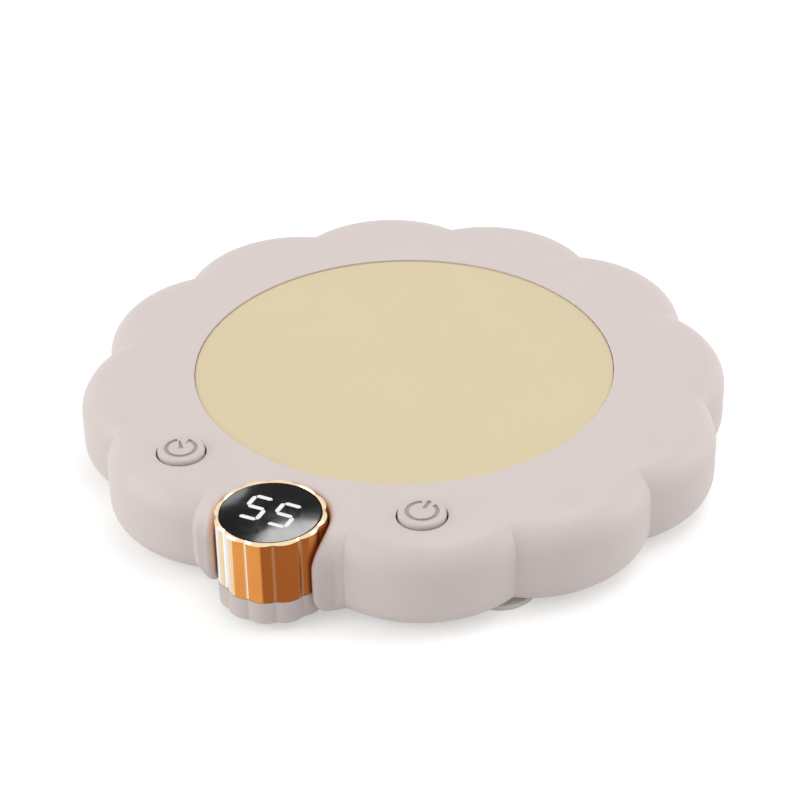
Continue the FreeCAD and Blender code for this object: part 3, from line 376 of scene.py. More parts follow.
def brushed(name, shade, roughness, stretch):
    """Metal with brushed lines; stretch is the lines' scale along X, Y and Z."""
    material, tree, sockets = new_material(name, Metallic=1.0)
    lines = effect(tree, "Brushed Lines", Along_X=stretch[0], Along_Y=stretch[1],
                   Along_Z=stretch[2])
    edge = effect(tree, "Edge Line", Radius=0.25 * MILLIMETRE)["Mask"]
    body = blend(tree, lines["Drift"], opaque(shade, 0.9), opaque(shade))
    # Lighter colour along edges is a painted highlight.
    bright = tuple(min(part * 1.12, 1.0) for part in shade)
    tree.links.new(blend(tree, edge, body, opaque(bright)), sockets["Base Color"])
    rough = remap(tree, lines["Height"], 0.3, 0.7, roughness - 0.06, roughness + 0.06)
    tree.links.new(rough, sockets["Roughness"])
    bumped(tree, sockets, lines["Height"], 0.004 * MILLIMETRE)
    return material


def smooth(piece, crease=math.radians(31)):
    """Shade a piece's curved faces smoothly and keep its creases."""
    piece.data.polygons.foreach_set("use_smooth", [True] * len(piece.data.polygons))
    weld = piece.modifiers.new("join corners", "WELD")
    weld.merge_threshold = MERGE_REACH
    split = piece.modifiers.new("keep creases", "EDGE_SPLIT")
    split.split_angle = crease
    even = piece.modifiers.new("even flats", "WEIGHTED_NORMAL")
    even.keep_sharp = True


def crowned(piece):
    """Give the window's top the exact normals of its crown, and keep its side's own."""
    piece.modifiers.clear()
    mesh = piece.data
    normals = []
    for face in mesh.polygons:
        for index in face.loop_indices:
            spot = mesh.vertices[mesh.loops[index].vertex_index].co - LENS_TOP
            tilt = Vector((spot.x, spot.y, 0.0)) * (2 * LENS_CROWN / LENS_REACH ** 2)
            top = face.normal.z > 0.99
            normals.append((Vector((0, 0, 1)) + tilt).normalized() if top else face.normal)
    mesh.normals_split_custom_set(normals)


def dress(names, material):
    """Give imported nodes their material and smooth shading."""
    for name in names:
        piece = frame["nodes"][name]
        if not piece.material_slots:
            piece.data.materials.append(material)
        for slot in piece.material_slots:
            slot.material = material
        smooth(piece)


def measured_from(tree, point):
    """Position of the surface seen from a point, in parts, and its distance in plan."""
    place = node(tree, "TexCoord").outputs["Object"]
    centred = node(tree, "VectorMath", {0: place, 1: point}, operation="SUBTRACT").outputs[0]
    flat = node(tree, "VectorMath", {0: centred, 1: PLAN}, operation="MULTIPLY").outputs[0]
    reach = node(tree, "VectorMath", {0: flat}, operation="LENGTH").outputs["Value"]
    return node(tree, "SeparateXYZ", {0: centred}).outputs, reach


def gold_metal(colours, surfaces):
    """Plated metal with faint upright lines, and a painted highlight on its top rim and in the
    valleys between its flutes.
    """
    material, tree, sockets = new_material("knob gold", Metallic=1.0)
    lines = effect(tree, "Brushed Lines", Density=2600.0, Along_Z=0.02)
    drifted = blend(tree, lines["Drift"], opaque(colours.gold, 0.93), opaque(colours.gold))
    parts, reach = measured_from(tree, LENS_TOP)
    # Painted highlight: the top rim and the valleys between flutes are paler.
    rim = maths(tree, "GREATER_THAN", parts["Z"], -RIM_HEIGHT)
    valley_highlight = remap(tree, reach, VALLEY_FLOOR, VALLEY_EDGE, 0.7, 0.0)
    pale = maths(tree, "MAXIMUM", rim, valley_highlight)
    tree.links.new(blend(tree, pale, drifted, opaque(colours.rim_highlight)), sockets["Base Color"])
    rough = surfaces.gold_roughness
    tree.links.new(remap(tree, lines["Height"], 0.3, 0.7, rough - 0.04, rough + 0.04),
                   sockets["Roughness"])
    bumped(tree, sockets, lines["Height"], 0.001 * MILLIMETRE)
    return material


def plate_enamel(colours, surfaces):
    """Cream enamel with fine flecks and a soft waviness."""
    material, tree, sockets = new_material("plate enamel", Coat_Weight=0.12,
                                           Coat_Roughness=0.3)
    place = node(tree, "TexCoord").outputs["Object"]
    flecks = node(tree, "TexVoronoi", {"Vector": place, "Scale": 1400.0})
    fleck = remap(tree, flecks.outputs["Distance"], 0.12, 0.3, 1.0, 0.0)
    grain = effect(tree, "Moulded Grain", Density=1600.0)
    base = blend(tree, grain["Drift"], opaque(colours.plate, 0.975), opaque(colours.plate))
    flecked = blend(tree, maths(tree, "MULTIPLY", fleck, 0.22), base,
                    opaque(colours.plate_fleck))
    # Lighter colour along the plate's edges is a painted highlight.
    edge = effect(tree, "Edge Line", Radius=0.3 * MILLIMETRE)["Mask"]
    pale = tuple(min(part * 1.08, 1.0) for part in colours.plate)
    tree.links.new(blend(tree, maths(tree, "MULTIPLY", edge, 0.7), flecked, opaque(pale)),
                   sockets["Base Color"])
    rough = surfaces.plate_roughness
    tree.links.new(remap(tree, grain["Drift"], 0.0, 1.0, rough - 0.05, rough + 0.05),
                   sockets["Roughness"])
    bumped(tree, sockets, grain["Height"], 0.004 * MILLIMETRE)
    return material


def cap_plastic(name, shade, surfaces, top):
    """Housing plastic with painted shade on the floor of a cap's sunk sign."""
    material = moulded(name, shade, surfaces, surfaces.plastic_roughness)
    tree = material.node_tree
    sockets = tree.nodes["Principled BSDF"].inputs
    body = sockets["Base Color"].links[0].from_socket
    parts, reach = measured_from(tree, top)
    # The sign's floor is darkened: painted shade in the recess.
    sunk = remap(tree, parts["Z"], -0.3 * SIGN_DEPTH, -SIGN_DEPTH, 0.0, 1.0)
    inside = maths(tree, "LESS_THAN", reach, SIGN_REACH)
    mask = maths(tree, "MULTIPLY", sunk, inside)
    tree.links.new(blend(tree, mask, body, opaque(shade, 0.72)), sockets["Base Color"])
    return material


def lens_glass(colours, surfaces):
    """Dark glossy window with faint wipe marks."""
    material, tree, sockets = new_material("display lens", Specular_IOR_Level=0.06)
    place = node(tree, "TexCoord").outputs["Object"]
    wipes = node(tree, "TexNoise", {"Vector": place, "Scale": 260.0, "Detail": 3.0,
                                    "Distortion": 0.8})
    tone = remap(tree, wipes.outputs[0], 0.4, 0.7, 0.0, 1.0)
    tree.links.new(blend(tree, tone, opaque(colours.lens, 0.8), opaque(colours.lens)),
                   sockets["Base Color"])
    rough = surfaces.lens_roughness
    tree.links.new(remap(tree, wipes.outputs[0], 0.4, 0.7, rough - 0.02, rough + 0.03),
                   sockets["Roughness"])
    return material


def digit_light(colours):
    """Lit light guides, a little softer towards their edges."""
    material, tree, sockets = new_material("lit digits", Roughness=0.5, Emission_Strength=0.8)
    edge = effect(tree, "Edge Line", Radius=0.15 * MILLIMETRE)["Mask"]
    glow = blend(tree, edge, opaque(colours.digits), opaque(colours.digits, 0.82))
    tree.links.new(glow, sockets["Emission Color"])
    grain = effect(tree, "Moulded Grain", Density=4000.0)
    tree.links.new(blend(tree, grain["Drift"], opaque(colours.digits, 0.3),
                         opaque(colours.digits, 0.4)), sockets["Base Color"])
    return material


def soft_rubber(name, shade, surfaces):
    """Matt rubber with a coarse grain."""
    return moulded(name, shade, surfaces, 0.72, fleck=0.06, edge_highlight_lift=0.0, Specular_IOR_Level=0.3)


def felt_fibre(colours):
    """Fibrous mat."""
    material, tree, sockets = new_material("insulation felt", Roughness=0.95,
                                           Specular_IOR_Level=0.1)
    place = node(tree, "TexCoord").outputs["Object"]
    fibres = node(tree, "TexNoise", {"Vector": place, "Scale": 1500.0, "Detail": 6.0,
                                     "Roughness": 0.75, "Distortion": 2.5}).outputs[0]
    tree.links.new(blend(tree, fibres, opaque(colours.felt, 0.7), opaque(colours.felt)),
                   sockets["Base Color"])
    bumped(tree, sockets, fibres, 0.2 * MILLIMETRE)
    return material


def board_mask(colours):
    """Solder mask over raised tracks."""
    material, tree, sockets = new_material("circuit board", Roughness=0.35)
    place = node(tree, "TexCoord").outputs["Object"]
    tracks = node(tree, "TexBrick", {"Vector": place, "Scale": 300.0, "Mortar Size": 0.08,
                                     "Mortar Smooth": 0.3, "Brick Width": 1.3,
                                     "Row Height": 0.55}).outputs["Fac"]
    bright = tuple(min(part * 1.9 + 0.01, 1.0) for part in colours.board)
    tree.links.new(blend(tree, tracks, opaque(colours.board), opaque(bright)),
                   sockets["Base Color"])
    bumped(tree, sockets, tracks, 0.03 * MILLIMETRE)
    return material


def ribbon_film():
    """Flat lead with its conductors side by side."""
    material, tree, sockets = new_material("ribbon lead", Roughness=0.5)
    place = node(tree, "TexCoord").outputs["Object"]
    cores = node(tree, "TexWave", {"Vector": place, "Scale": 500.0}).outputs["Fac"]
    dark, pale = opaque(screen(176, 178, 180)), opaque(screen(226, 226, 224))
    tree.links.new(blend(tree, cores, dark, pale), sockets["Base Color"])
    bumped(tree, sockets, cores, 0.1 * MILLIMETRE)
    return material


class WarmerStep:
    """What all the operators share."""

    bl_options = {"REGISTER", "UNDO"}

    @property
    def colours(self):
        return bpy.context.scene.warmer_colours

    @property
    def surfaces(self):
        return bpy.context.scene.warmer_surfaces


class WARMER_OT_housing(WarmerStep, bpy.types.Operator):
    """Finish the upper housing and the base cover"""

    bl_idname = "warmer.housing"
    bl_label = "Finish Housing"

    def execute(self, context):
        rough = self.surfaces.plastic_roughness
        shell = moulded("housing plastic", self.colours.housing, self.surfaces, rough)
        cover = moulded("base plastic", self.colours.housing, self.surfaces, rough + 0.1)
        dress(["top_shell"], shell)
        dress(["base_cover"], cover)
        return {"FINISHED"}


class WARMER_OT_hot_plate(WarmerStep, bpy.types.Operator):
    """Finish the hot plate and its seal"""

    bl_idname = "warmer.hot_plate"
    bl_label = "Finish Hot Plate"

    def execute(self, context):
        dress(["hot_plate"], plate_enamel(self.colours, self.surfaces))
        dress(["plate_seal"], soft_rubber("seal silicone", screen(206, 200, 194), self.surfaces))
        return {"FINISHED"}


class WARMER_OT_knob(WarmerStep, bpy.types.Operator):
    """Finish the knob's sleeve, its rotor, its post and the plinth under it"""

    bl_idname = "warmer.knob"
    bl_label = "Finish Knob"

    def execute(self, context):
        dress(["knob_sleeve"], gold_metal(self.colours, self.surfaces))
        rotor = moulded("rotor plastic", screen(62, 62, 64), self.surfaces, 0.5)
        dress(["encoder_rotor"], rotor)
        post = moulded("post plastic", screen(44, 44, 46), self.surfaces, 0.4)
        dress(["display_column"], post)
        plinth = moulded("plinth plastic", self.colours.housing, self.surfaces,
                         self.surfaces.plastic_roughness)
        dress(["knob_plinth"], plinth)
        return {"FINISHED"}


class WARMER_OT_display(WarmerStep, bpy.types.Operator):
    """Finish the display's window, digits and reflector"""

    bl_idname = "warmer.display"
    bl_label = "Finish Display"

    def execute(self, context):
        dress(["display_lens"], lens_glass(self.colours, self.surfaces))
        crowned(frame["nodes"]["display_lens"])
        glow = digit_light(self.colours)
        dress(["digit_segments"], glow)
        piece = joined(lit_number(), "lit_number")
        piece.data.materials.clear()
        piece.data.materials.append(glow)
        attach(piece, "root")
        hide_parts("digit_segments")
        dress(["display_module"], moulded("reflector plastic", screen(232, 232, 228),
                                          self.surfaces, 0.35))
        return {"FINISHED"}


class WARMER_OT_buttons(WarmerStep, bpy.types.Operator):
    """Finish both push buttons and cut their signs"""

    bl_idname = "warmer.buttons"
    bl_label = "Finish Buttons"

    def execute(self, context):
        for name, sign in (("left_button", timer_sign), ("right_button", power_sign)):
            low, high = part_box(name)
            top = Vector(((low.x + high.x) / 2, (low.y + high.y) / 2, high.z))
            piece = cut_copy(name, sign(top))
            piece.data.materials.clear()
            piece.data.materials.append(cap_plastic(name.replace("_", " ") + " plastic",
                                                    self.colours.cap, self.surfaces, top))
            smooth(piece)
            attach(piece, name)
            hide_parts(name)
        return {"FINISHED"}


class WARMER_OT_feet(WarmerStep, bpy.types.Operator):
    """Finish the soft feet"""

    bl_idname = "warmer.feet"
    bl_label = "Finish Feet"

    def execute(self, context):
        dress(["feet"], soft_rubber("foot rubber", self.colours.foot, self.surfaces))
        return {"FINISHED"}


class WARMER_OT_heater(WarmerStep, bpy.types.Operator):
    """Finish the heating stack under the plate"""

    bl_idname = "warmer.heater"
    bl_label = "Finish Heater"

    def execute(self, context):
        film = moulded("heater film", screen(168, 112, 44), self.surfaces, 0.3)
        dress(["heater_film"], film)
        dress(["heater_track"], brushed("heater foil", screen(190, 188, 184), 0.35, (1, 1, 1)))
        sheet = brushed("aluminium sheet", screen(200, 202, 204), 0.32, (0.04, 1, 1))
        dress(["heat_spreader", "heater_pan"], sheet)
        dress(["insulation_pad"], felt_fibre(self.colours))
        dress(["thermistor"], moulded("sensor bead", screen(34, 34, 36), self.surfaces, 0.3))
        steel = brushed("clip steel", screen(188, 188, 186), 0.3, (1, 0.04, 1))
        dress(["thermal_fuse", "fuse_clip"], steel)
        return {"FINISHED"}


class WARMER_OT_boards(WarmerStep, bpy.types.Operator):
    """Finish the circuit boards and what stands on them"""

    bl_idname = "warmer.boards"
    bl_label = "Finish Boards"

    def execute(self, context):
        board = board_mask(self.colours)
        dress(["main_board", "control_board", "encoder_board"], board)
        chip = moulded("chip resin", screen(30, 30, 32), self.surfaces, 0.55)
        dress(["control_chip", "power_transistor", "buzzer"], chip)
        dress(["filter_capacitor"], brushed("capacitor can", screen(196, 198, 200), 0.3,
                                            (1, 1, 0.04)))
        nylon = moulded("connector nylon", screen(236, 230, 214), self.surfaces, 0.45)
        dress(["board_connectors"], nylon)
        dress(["left_switch", "right_switch"], chip)
        plunger = moulded("plunger plastic", screen(210, 206, 200), self.surfaces, 0.4)
        dress(["left_switch_plunger", "right_switch_plunger"], plunger)
        return {"FINISHED"}


class WARMER_OT_wiring(WarmerStep, bpy.types.Operator):
    """Finish the leads and ribbons"""

    bl_idname = "warmer.wiring"
    bl_label = "Finish Wiring"

    def execute(self, context):
        red = moulded("red sleeve", screen(150, 34, 28), self.surfaces, 0.55)
        dress(["heater_leads", "fuse_leads"], red)
        white = moulded("white sleeve", screen(228, 226, 220), self.surfaces, 0.55)
        dress(["sensor_leads"], white)
        dress(["display_lead", "panel_lead"], ribbon_film())
        return {"FINISHED"}


class WARMER_OT_screws(WarmerStep, bpy.types.Operator):
    """Finish the screws"""

    bl_idname = "warmer.screws"
    bl_label = "Finish Screws"

    def execute(self, context):
        steel = brushed("screw steel", screen(180, 180, 178), 0.28, (1, 1, 1))
        dress([name for name in frame["nodes"] if name.endswith("_screws")], steel)
        return {"FINISHED"}


class WARMER_OT_power_inlet(WarmerStep, bpy.types.Operator):
    """Finish the power inlet and lay the contacts on its tongue"""

    bl_idname = "warmer.power_inlet"
    bl_label = "Finish Power Inlet"

    per_face: IntProperty(name="Contacts", description="Contacts on each face", default=8)

    def execute(self, context):
        steel = brushed("inlet steel", screen(190, 192, 194), 0.26, (1, 0.05, 1))
        dress(["power_inlet"], steel)
        low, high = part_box("power_inlet")
        middle = (low + high) / 2
        strips = []
        for face in (-1, 1):
            for index in range(self.per_face):
                across = (index - (self.per_face - 1) / 2) * CONTACT_PITCH
                spot = Vector((middle.x + across, high.y - CONTACT_INSET,
                               middle.z + face * CONTACT_RISE))
                strips.append(contact_strip(spot, strips[0] if strips else None))
        piece = joined(strips, "inlet_contacts")
        piece.data.materials.clear()
        piece.data.materials.append(brushed("contact gold", screen(226, 178, 96), 0.25,
                                            (1, 0.05, 1)))
        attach(piece, "root")
        return {"FINISHED"}


def select_only(piece):
    """Make a piece the only one selected, and active."""
    bpy.ops.object.select_all(action="DESELECT")
    piece.select_set(True)
    bpy.context.view_layer.objects.active = piece


def in_edit_mode(*steps):
    """Run edit-mode steps on all of the active piece."""
    bpy.ops.object.mode_set(mode="EDIT")
    bpy.ops.mesh.select_all(action="SELECT")
    for step in steps:
        step()
    bpy.ops.object.mode_set(mode="OBJECT")


def ring_cutter(top, start, end):
    """Solid of a sign's open ring, from one angle to another, counted from +Y."""
    middle = (RING_INNER + RING_OUTER) / 2
    turn = math.radians(start)
    spot = (top.x - middle * math.sin(turn), top.y + middle * math.cos(turn), top.z)
    bpy.ops.object.select_all(action="DESELECT")
    bpy.ops.mesh.primitive_plane_add(size=1.0, location=spot,
                                     rotation=(math.pi / 2, 0.0, turn + math.pi / 2))
    cutter = bpy.context.object
    cutter.scale = (RING_OUTER - RING_INNER, 2 * SIGN_DEPTH, 1.0)
    bpy.ops.object.transform_apply(location=True, rotation=True, scale=True)
    sweep = math.radians(end - start)
    in_edit_mode(
        lambda: bpy.ops.mesh.spin(steps=56, angle=-sweep, center=tuple(top), axis=(0, 0, 1)),
        lambda: bpy.ops.mesh.select_all(action="SELECT"),
        lambda: bpy.ops.mesh.remove_doubles(threshold=MERGE_REACH / 10),
        lambda: bpy.ops.mesh.normals_make_consistent(inside=False))
    return cutter


def bar_cutter(top, degrees, near, far):
    """Solid of a sign's tapered bar; near and far are each a reach and a half width in mm."""
    turn = math.radians(degrees)
    along = Vector((-math.sin(turn), math.cos(turn), 0.0))
    reach = (near[0] + far[0]) / 2 * MILLIMETRE
    bpy.ops.object.select_all(action="DESELECT")
    bpy.ops.mesh.primitive_cube_add(size=2.0, location=top + along * reach,
                                    rotation=(0.0, 0.0, turn))
    cutter = bpy.context.object
    cutter.scale = (near[1] * MILLIMETRE, (far[0] - near[0]) / 2 * MILLIMETRE, SIGN_DEPTH)
    bpy.ops.object.transform_apply(location=True, rotation=True, scale=True)
    side = Vector((along.y, -along.x, 0.0))
    for corner in cutter.data.vertices:
        offset = corner.co - top
        if offset.dot(along) > reach:
            corner.co += side * offset.dot(side) * (far[1] / near[1] - 1.0)
    return cutter


def power_sign(top):
    """Open ring with a bar through its gap."""
    return [ring_cutter(top, 25.0, 335.0), bar_cutter(top, 0.0, (0.82, 0.42), (3.53, 0.42))]


def timer_sign(top):
    """Open ring that ends in a barb, with a clock hand inside."""
    return [ring_cutter(top, 43.0, 354.0), bar_cutter(top, -6.0, (1.55, 0.08), (3.24, 0.42)),
            bar_cutter(top, 36.0, (-0.3, 0.53), (2.56, 0.06))]


def cut_copy(name, cutters):
    """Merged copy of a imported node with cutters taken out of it."""
    select_only(frame["nodes"][name])
    bpy.ops.object.duplicate()
    copy = bpy.context.object
    bpy.ops.object.parent_clear(type="CLEAR_KEEP_TRANSFORM")
    for key in list(copy.keys()):
        del copy[key]
    copy.name = name + "_cap"
    bpy.ops.mesh.customdata_custom_splitnormals_clear()
    in_edit_mode(lambda: bpy.ops.mesh.remove_doubles(threshold=MERGE_REACH))
    for cutter in cutters:
        select_only(copy)
        cut = copy.modifiers.new("sign", "BOOLEAN")
        cut.operation = "DIFFERENCE"
        cut.solver = "EXACT"
        cut.object = cutter
        bpy.ops.object.modifier_apply(modifier=cut.name)
        bpy.data.objects.remove(cutter)
    select_only(copy)
    bpy.ops.object.transform_apply(location=True, rotation=True, scale=True)
    return copy


def pointed_bar(half_length, half_width, low, high, upright):
    """Lit bar at the knob's axis, along X or along Y, its upright edges cut to points."""
    bpy.ops.object.select_all(action="DESELECT")
    spot = (KNOB_AXIS.x, KNOB_AXIS.y, (low + high) / 2)
    bpy.ops.mesh.primitive_cube_add(size=2.0, location=spot)
    bar = bpy.context.object
    bar.scale = (half_length, half_width, (high - low) / 2)
    bpy.ops.object.transform_apply(location=False, rotation=True, scale=True)
    bpy.ops.object.mode_set(mode="EDIT")
    bpy.ops.mesh.select_mode(type="EDGE")
    bpy.ops.mesh.select_all(action="DESELECT")
    bpy.ops.object.mode_set(mode="OBJECT")
    for edge in bar.data.edges:
        first, last = (bar.data.vertices[index].co for index in edge.vertices)
        edge.select = abs(first.z - last.z) > 0.5 * (high - low)
    bpy.ops.object.mode_set(mode="EDIT")
    bpy.ops.mesh.bevel(offset=half_width * BAR_POINT, segments=1)
    bpy.ops.object.mode_set(mode="OBJECT")
    bar.rotation_euler.z = math.pi / 2 if upright else 0.0
    bpy.ops.object.transform_apply(location=False, rotation=True, scale=True)
    return bar


def lit_number():
    """Bars of both fives, each level with the window's crown under it."""
    low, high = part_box("digit_segments")
    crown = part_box("display_lens")[1].z
    rise = (high.y - low.y) / 4 - BAR_HALF_WIDTH / 2
    sizes = {False: DIGIT_HALF_WIDTH - BAR_GAP, True: rise - BAR_GAP}
    patterns = {up: pointed_bar(size, BAR_HALF_WIDTH, low.z, crown, up)
                for up, size in sizes.items()}
    places = [(False, 0.0, row * 2 * rise) for row in (-1, 0, 1)]
    places += [(True, DIGIT_HALF_WIDTH, -rise), (True, -DIGIT_HALF_WIDTH, rise)]
    bars = []
    for digit in (-1, 1):
        for up, x, y in places:
            x += digit * DIGIT_OFFSET
            select_only(patterns[up])
            bpy.ops.object.duplicate()
            bar = bpy.context.object
            fall = LENS_CROWN * (x * x + y * y) / LENS_REACH ** 2
            bar.location += Vector((x, y, BAR_RISE - fall))
            bars.append(bar)
    for pattern in patterns.values():
        bpy.data.objects.remove(pattern)
    return bars


def contact_strip(spot, pattern):
    """One contact with rounded edges, or a copy of the first one in a new place."""
    if pattern is None:
        bpy.ops.object.select_all(action="DESELECT")
        bpy.ops.mesh.primitive_cube_add(size=1.0, location=spot)
        strip = bpy.context.object
        strip.scale = CONTACT_SIZE
        bpy.ops.object.transform_apply(location=False, rotation=True, scale=True)
        in_edit_mode(lambda: bpy.ops.mesh.bevel(offset=CONTACT_SIZE.z * 0.3, segments=2))
        return strip
    select_only(pattern)
    bpy.ops.object.duplicate()
    strip = bpy.context.object
    strip.location = spot
    return strip


def joined(parts, name):
    """One piece from parts, with its origin at the frame's."""
    bpy.ops.object.select_all(action="DESELECT")
    for part in parts:
        part.select_set(True)
    bpy.context.view_layer.objects.active = parts[0]
    bpy.ops.object.join()
    piece = bpy.context.object
    bpy.ops.object.transform_apply(location=True, rotation=True, scale=True)
    piece.name = name
    return piece


def seen_share(tree):
    """1 for rays that show the background: from the camera, in metal and through glass."""
    rays = node(tree, "LightPath").outputs
    glossy = maths(tree, "ADD", rays["Is Camera Ray"], rays["Is Glossy Ray"])
    return maths(tree, "ADD", glossy, rays["Is Transmission Ray"], clamp=True)


def floor_material():
    """Pale matt floor that looks white and keeps the warmer's shadow."""
    material, tree, sockets = new_material("studio floor", Roughness=0.9,
                                           Specular_IOR_Level=0.0)
    place = node(tree, "TexCoord").outputs["Object"]
    drift = node(tree, "TexNoise", {"Vector": place, "Scale": 3.0, "Detail": 2.0}).outputs[0]
    tree.links.new(blend(tree, drift, grey(0.8), grey(0.82)), sockets["Base Color"])
    tree.links.new(blend(tree, seen_share(tree), grey(0.0), grey(FLOOR_GLOW)),
                   sockets["Emission Color"])
    sockets["Emission Strength"].default_value = 1.0
    return material


def studio_world(strength):
    """Even soft light that shows as white where it is seen."""
    world = bpy.data.worlds.new("studio")
    world.use_nodes = True
    bpy.context.scene.world = world
    tree = world.node_tree
    tree.nodes.clear()
    lit = node(tree, "Background", {"Color": grey(1.0), "Strength": strength})
    white = node(tree, "Background", {"Color": grey(1.0), "Strength": 1.0})
    mixed = node(tree, "MixShader", {0: seen_share(tree), 1: lit.outputs[0], 2: white.outputs[0]})
    node(tree, "OutputWorld", {"Surface": mixed.outputs[0]})


def towards(azimuth, elevation):
    """Direction from the warmer to a place round it; azimuth 0 is in front of the knob."""
    flat = math.cos(elevation)
    return Vector((math.sin(azimuth) * flat, -math.cos(azimuth) * flat, math.sin(elevation)))


def softbox(name, azimuth, elevation, distance, side, radiance, aim=Vector()):
    """Square lamp that faces the warmer."""
    away = towards(math.radians(azimuth), math.radians(elevation))
    bpy.ops.object.light_add(type="AREA", location=aim + away * distance)
    lamp = bpy.context.object
    lamp.name = name
    lamp.rotation_euler = (-away).to_track_quat("-Z", "Y").to_euler()
    lamp.data.shape = "SQUARE"
    lamp.data.size = side
    lamp.data.energy = radiance * 4.0 * side * side
    return lamp


def shines_on(source, names):
    """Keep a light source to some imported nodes."""
    receivers = bpy.data.collections.new(source.name + " receivers")
    for name in names:
        receivers.objects.link(frame["nodes"][name])
    source.light_linking.receiver_collection = receivers


def glint_lamp(name, azimuth, elevation, side, radiance):
    """Small round lamp that shows only as a glint in the display's window."""
    lamp = softbox(name, azimuth, elevation, 1.0, side, radiance * math.pi / 4, LENS_TOP)
    lamp.data.shape = "DISK"
    lamp.visible_diffuse = False
    shines_on(lamp, ["display_lens"])


def knob_card_material():
    """Glow on the card's inner side: bright at its left, plain in front, dim at its right."""
    material, tree, _ = new_material("knob card")
    tree.nodes.clear()
    parts, _ = measured_from(tree, KNOB_AXIS)
    turn = maths(tree, "ARCTAN2", parts["X"], maths(tree, "MULTIPLY", parts["Y"], -1.0))
    left = remap(tree, turn, *CARD_LEFT_FADE, 1.0, 0.0)
    right = remap(tree, turn, *CARD_RIGHT_FADE, 0.0, 1.0)
    glow = blend(tree, left, opaque(CARD_GLOW), opaque(CARD_LEFT_GLOW))
    glow = blend(tree, right, glow, opaque(CARD_RIGHT_GLOW))
    card = node(tree, "Emission", {"Color": glow})
    clear = node(tree, "BsdfTransparent")
    inside = node(tree, "NewGeometry").outputs["Backfacing"]
    reach = maths(tree, "LESS_THAN", maths(tree, "ABSOLUTE", turn), CARD_HALF_TURN)
    shown = maths(tree, "MULTIPLY", inside, reach)
    mixed = node(tree, "MixShader", {0: shown, 1: clear.outputs[0], 2: card.outputs[0]})
    node(tree, "OutputMaterial", {"Surface": mixed.outputs[0]})
    return material


def knob_card():
    """Ring of card round the knob that shows only in its metal."""
    bottom, top = FLOOR_LEVEL, KNOB_BOX[1].z - CARD_DROP
    bpy.ops.object.select_all(action="DESELECT")
    bpy.ops.mesh.primitive_cylinder_add(
        vertices=96, radius=CARD_RADIUS, depth=top - bottom, end_fill_type="NOTHING",
        location=(KNOB_AXIS.x, KNOB_AXIS.y, (bottom + top) / 2))
    card = bpy.context.object
    card.name = "knob_card"
    bpy.ops.object.transform_apply(location=True, rotation=True, scale=True)
    card.data.materials.append(knob_card_material())
    card.visible_camera = False
    card.visible_diffuse = False
    card.visible_transmission = False
    card.visible_shadow = False
    shines_on(card, ["knob_sleeve"])


class WARMER_OT_stage(WarmerStep, bpy.types.Operator):
    """Set up the floor, lamps, world and camera"""

    bl_idname = "warmer.stage"
    bl_label = "Set Up Stage"

    def execute(self, context):
        studio = context.scene.warmer_studio
        bpy.ops.object.select_all(action="DESELECT")
        bpy.ops.mesh.primitive_plane_add(size=studio.floor_size, location=(0, 0, FLOOR_LEVEL))
        floor = context.object
        floor.name = "studio_floor"
        bpy.ops.object.transform_apply(location=True, rotation=True, scale=True)
        floor.data.materials.append(floor_material())
        softbox("top lamp", 150.0, 72.0, 1.2, 0.8, studio.top)
        for low_lamp in (softbox("key lamp", -58.0, 24.0, 1.1, 0.7, studio.key),
                         softbox("front lamp", -38.0, 20.0, 1.2, 0.7, studio.front),
                         softbox("side lamp", 120.0, 20.0, 1.15, 0.7, studio.side)):
            low_lamp.data.color = LOW_LAMP_TINT
        glint_lamp("right glint", 204.6, 43.4, 0.2, studio.glint)
        glint_lamp("left glint", 217.4, 28.9, 0.157, studio.glint * LEFT_GLINT_SHARE)
        knob_card()
        studio_world(studio.sky)
        place_camera(studio)
        context.scene.view_settings.view_transform = "Standard"
        return {"FINISHED"}


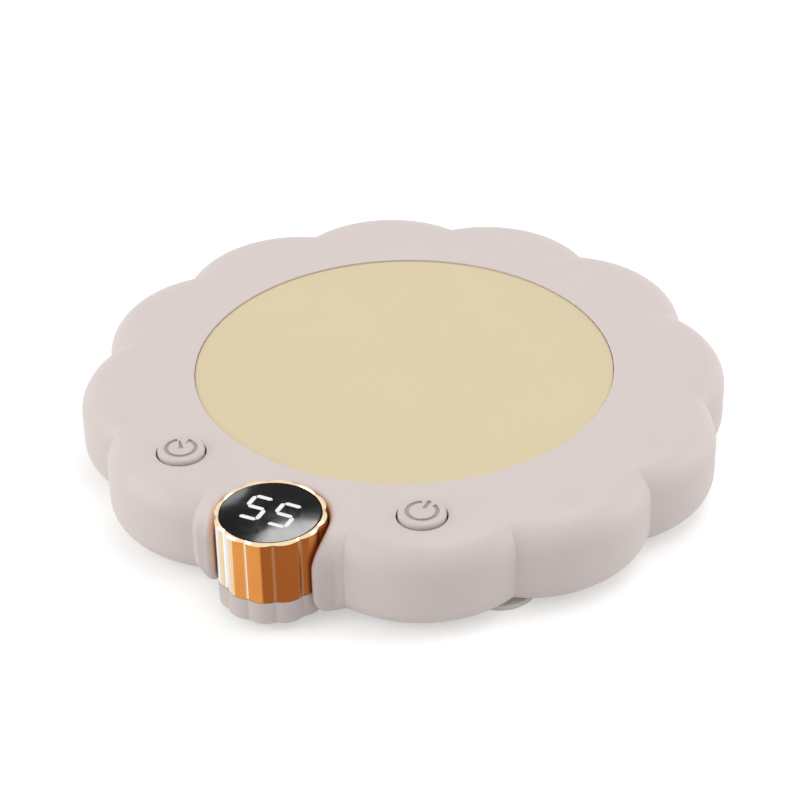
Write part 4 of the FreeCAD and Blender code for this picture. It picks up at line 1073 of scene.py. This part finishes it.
def place_camera(studio):
    """Camera at the photograph's place, turned and shifted to its frame."""
    back = towards(studio.azimuth, studio.elevation)
    level_right = Vector((math.cos(studio.azimuth), math.sin(studio.azimuth), 0.0))
    level_up = back.cross(level_right)
    turn, lean = math.cos(studio.roll), math.sin(studio.roll)
    right = level_right * turn + level_up * lean
    up = level_up * turn - level_right * lean
    target = Vector((0.0, 0.0, 0.3 * MILLIMETRE))
    place = target + back * studio.distance + right * studio.slide_right + up * studio.slide_up
    bpy.ops.object.camera_add(location=place)
    camera = bpy.context.object
    camera.name = "product camera"
    rows = [[right[i], up[i], back[i], place[i]] for i in range(3)] + [[0, 0, 0, 1]]
    camera.matrix_world = Matrix(rows)
    camera.data.sensor_width = 36.0
    camera.data.lens = studio.focal
    camera.data.clip_start = 0.01
    camera.data.clip_end = 20.0
    bpy.context.scene.camera = camera


class WARMER_PT_panel(bpy.types.Panel):
    """Steps and settings of the warmer"""

    bl_idname = "WARMER_PT_panel"
    bl_label = "Mug Warmer"
    bl_space_type = "VIEW_3D"
    bl_region_type = "UI"
    bl_category = "Warmer"

    def draw(self, context):
        for step in STEPS:
            self.layout.operator(step.bl_idname)
        for group in (context.scene.warmer_colours, context.scene.warmer_surfaces,
                      context.scene.warmer_studio):
            box = self.layout.box()
            for key in group.bl_rna.properties.keys():
                if key not in {"rna_type", "name"}:
                    box.prop(group, key)


STEPS = (
    WARMER_OT_housing,
    WARMER_OT_hot_plate,
    WARMER_OT_knob,
    WARMER_OT_display,
    WARMER_OT_buttons,
    WARMER_OT_feet,
    WARMER_OT_heater,
    WARMER_OT_boards,
    WARMER_OT_wiring,
    WARMER_OT_screws,
    WARMER_OT_power_inlet,
    WARMER_OT_stage,
)
SETTINGS = {"warmer_colours": WarmerColours, "warmer_surfaces": WarmerSurfaces,
            "warmer_studio": WarmerStudio}


def register():
    """Add the settings, the steps and the panel."""
    for name, group in SETTINGS.items():
        bpy.utils.register_class(group)
        setattr(bpy.types.Scene, name, PointerProperty(type=group))
    for step in STEPS + (WARMER_PT_panel,):
        bpy.utils.register_class(step)


def unregister():
    """Remove all that register added."""
    for step in (WARMER_PT_panel,) + STEPS[::-1]:
        bpy.utils.unregister_class(step)
    for name, group in SETTINGS.items():
        delattr(bpy.types.Scene, name)
        bpy.utils.unregister_class(group)


def main():
    """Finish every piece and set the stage."""
    register()
    for step in STEPS:
        family, name = step.bl_idname.split(".")
        if getattr(getattr(bpy.ops, family), name)() != {"FINISHED"}:
            raise RuntimeError(step.bl_idname + " did not finish")


if __name__ == "__main__":
    main()
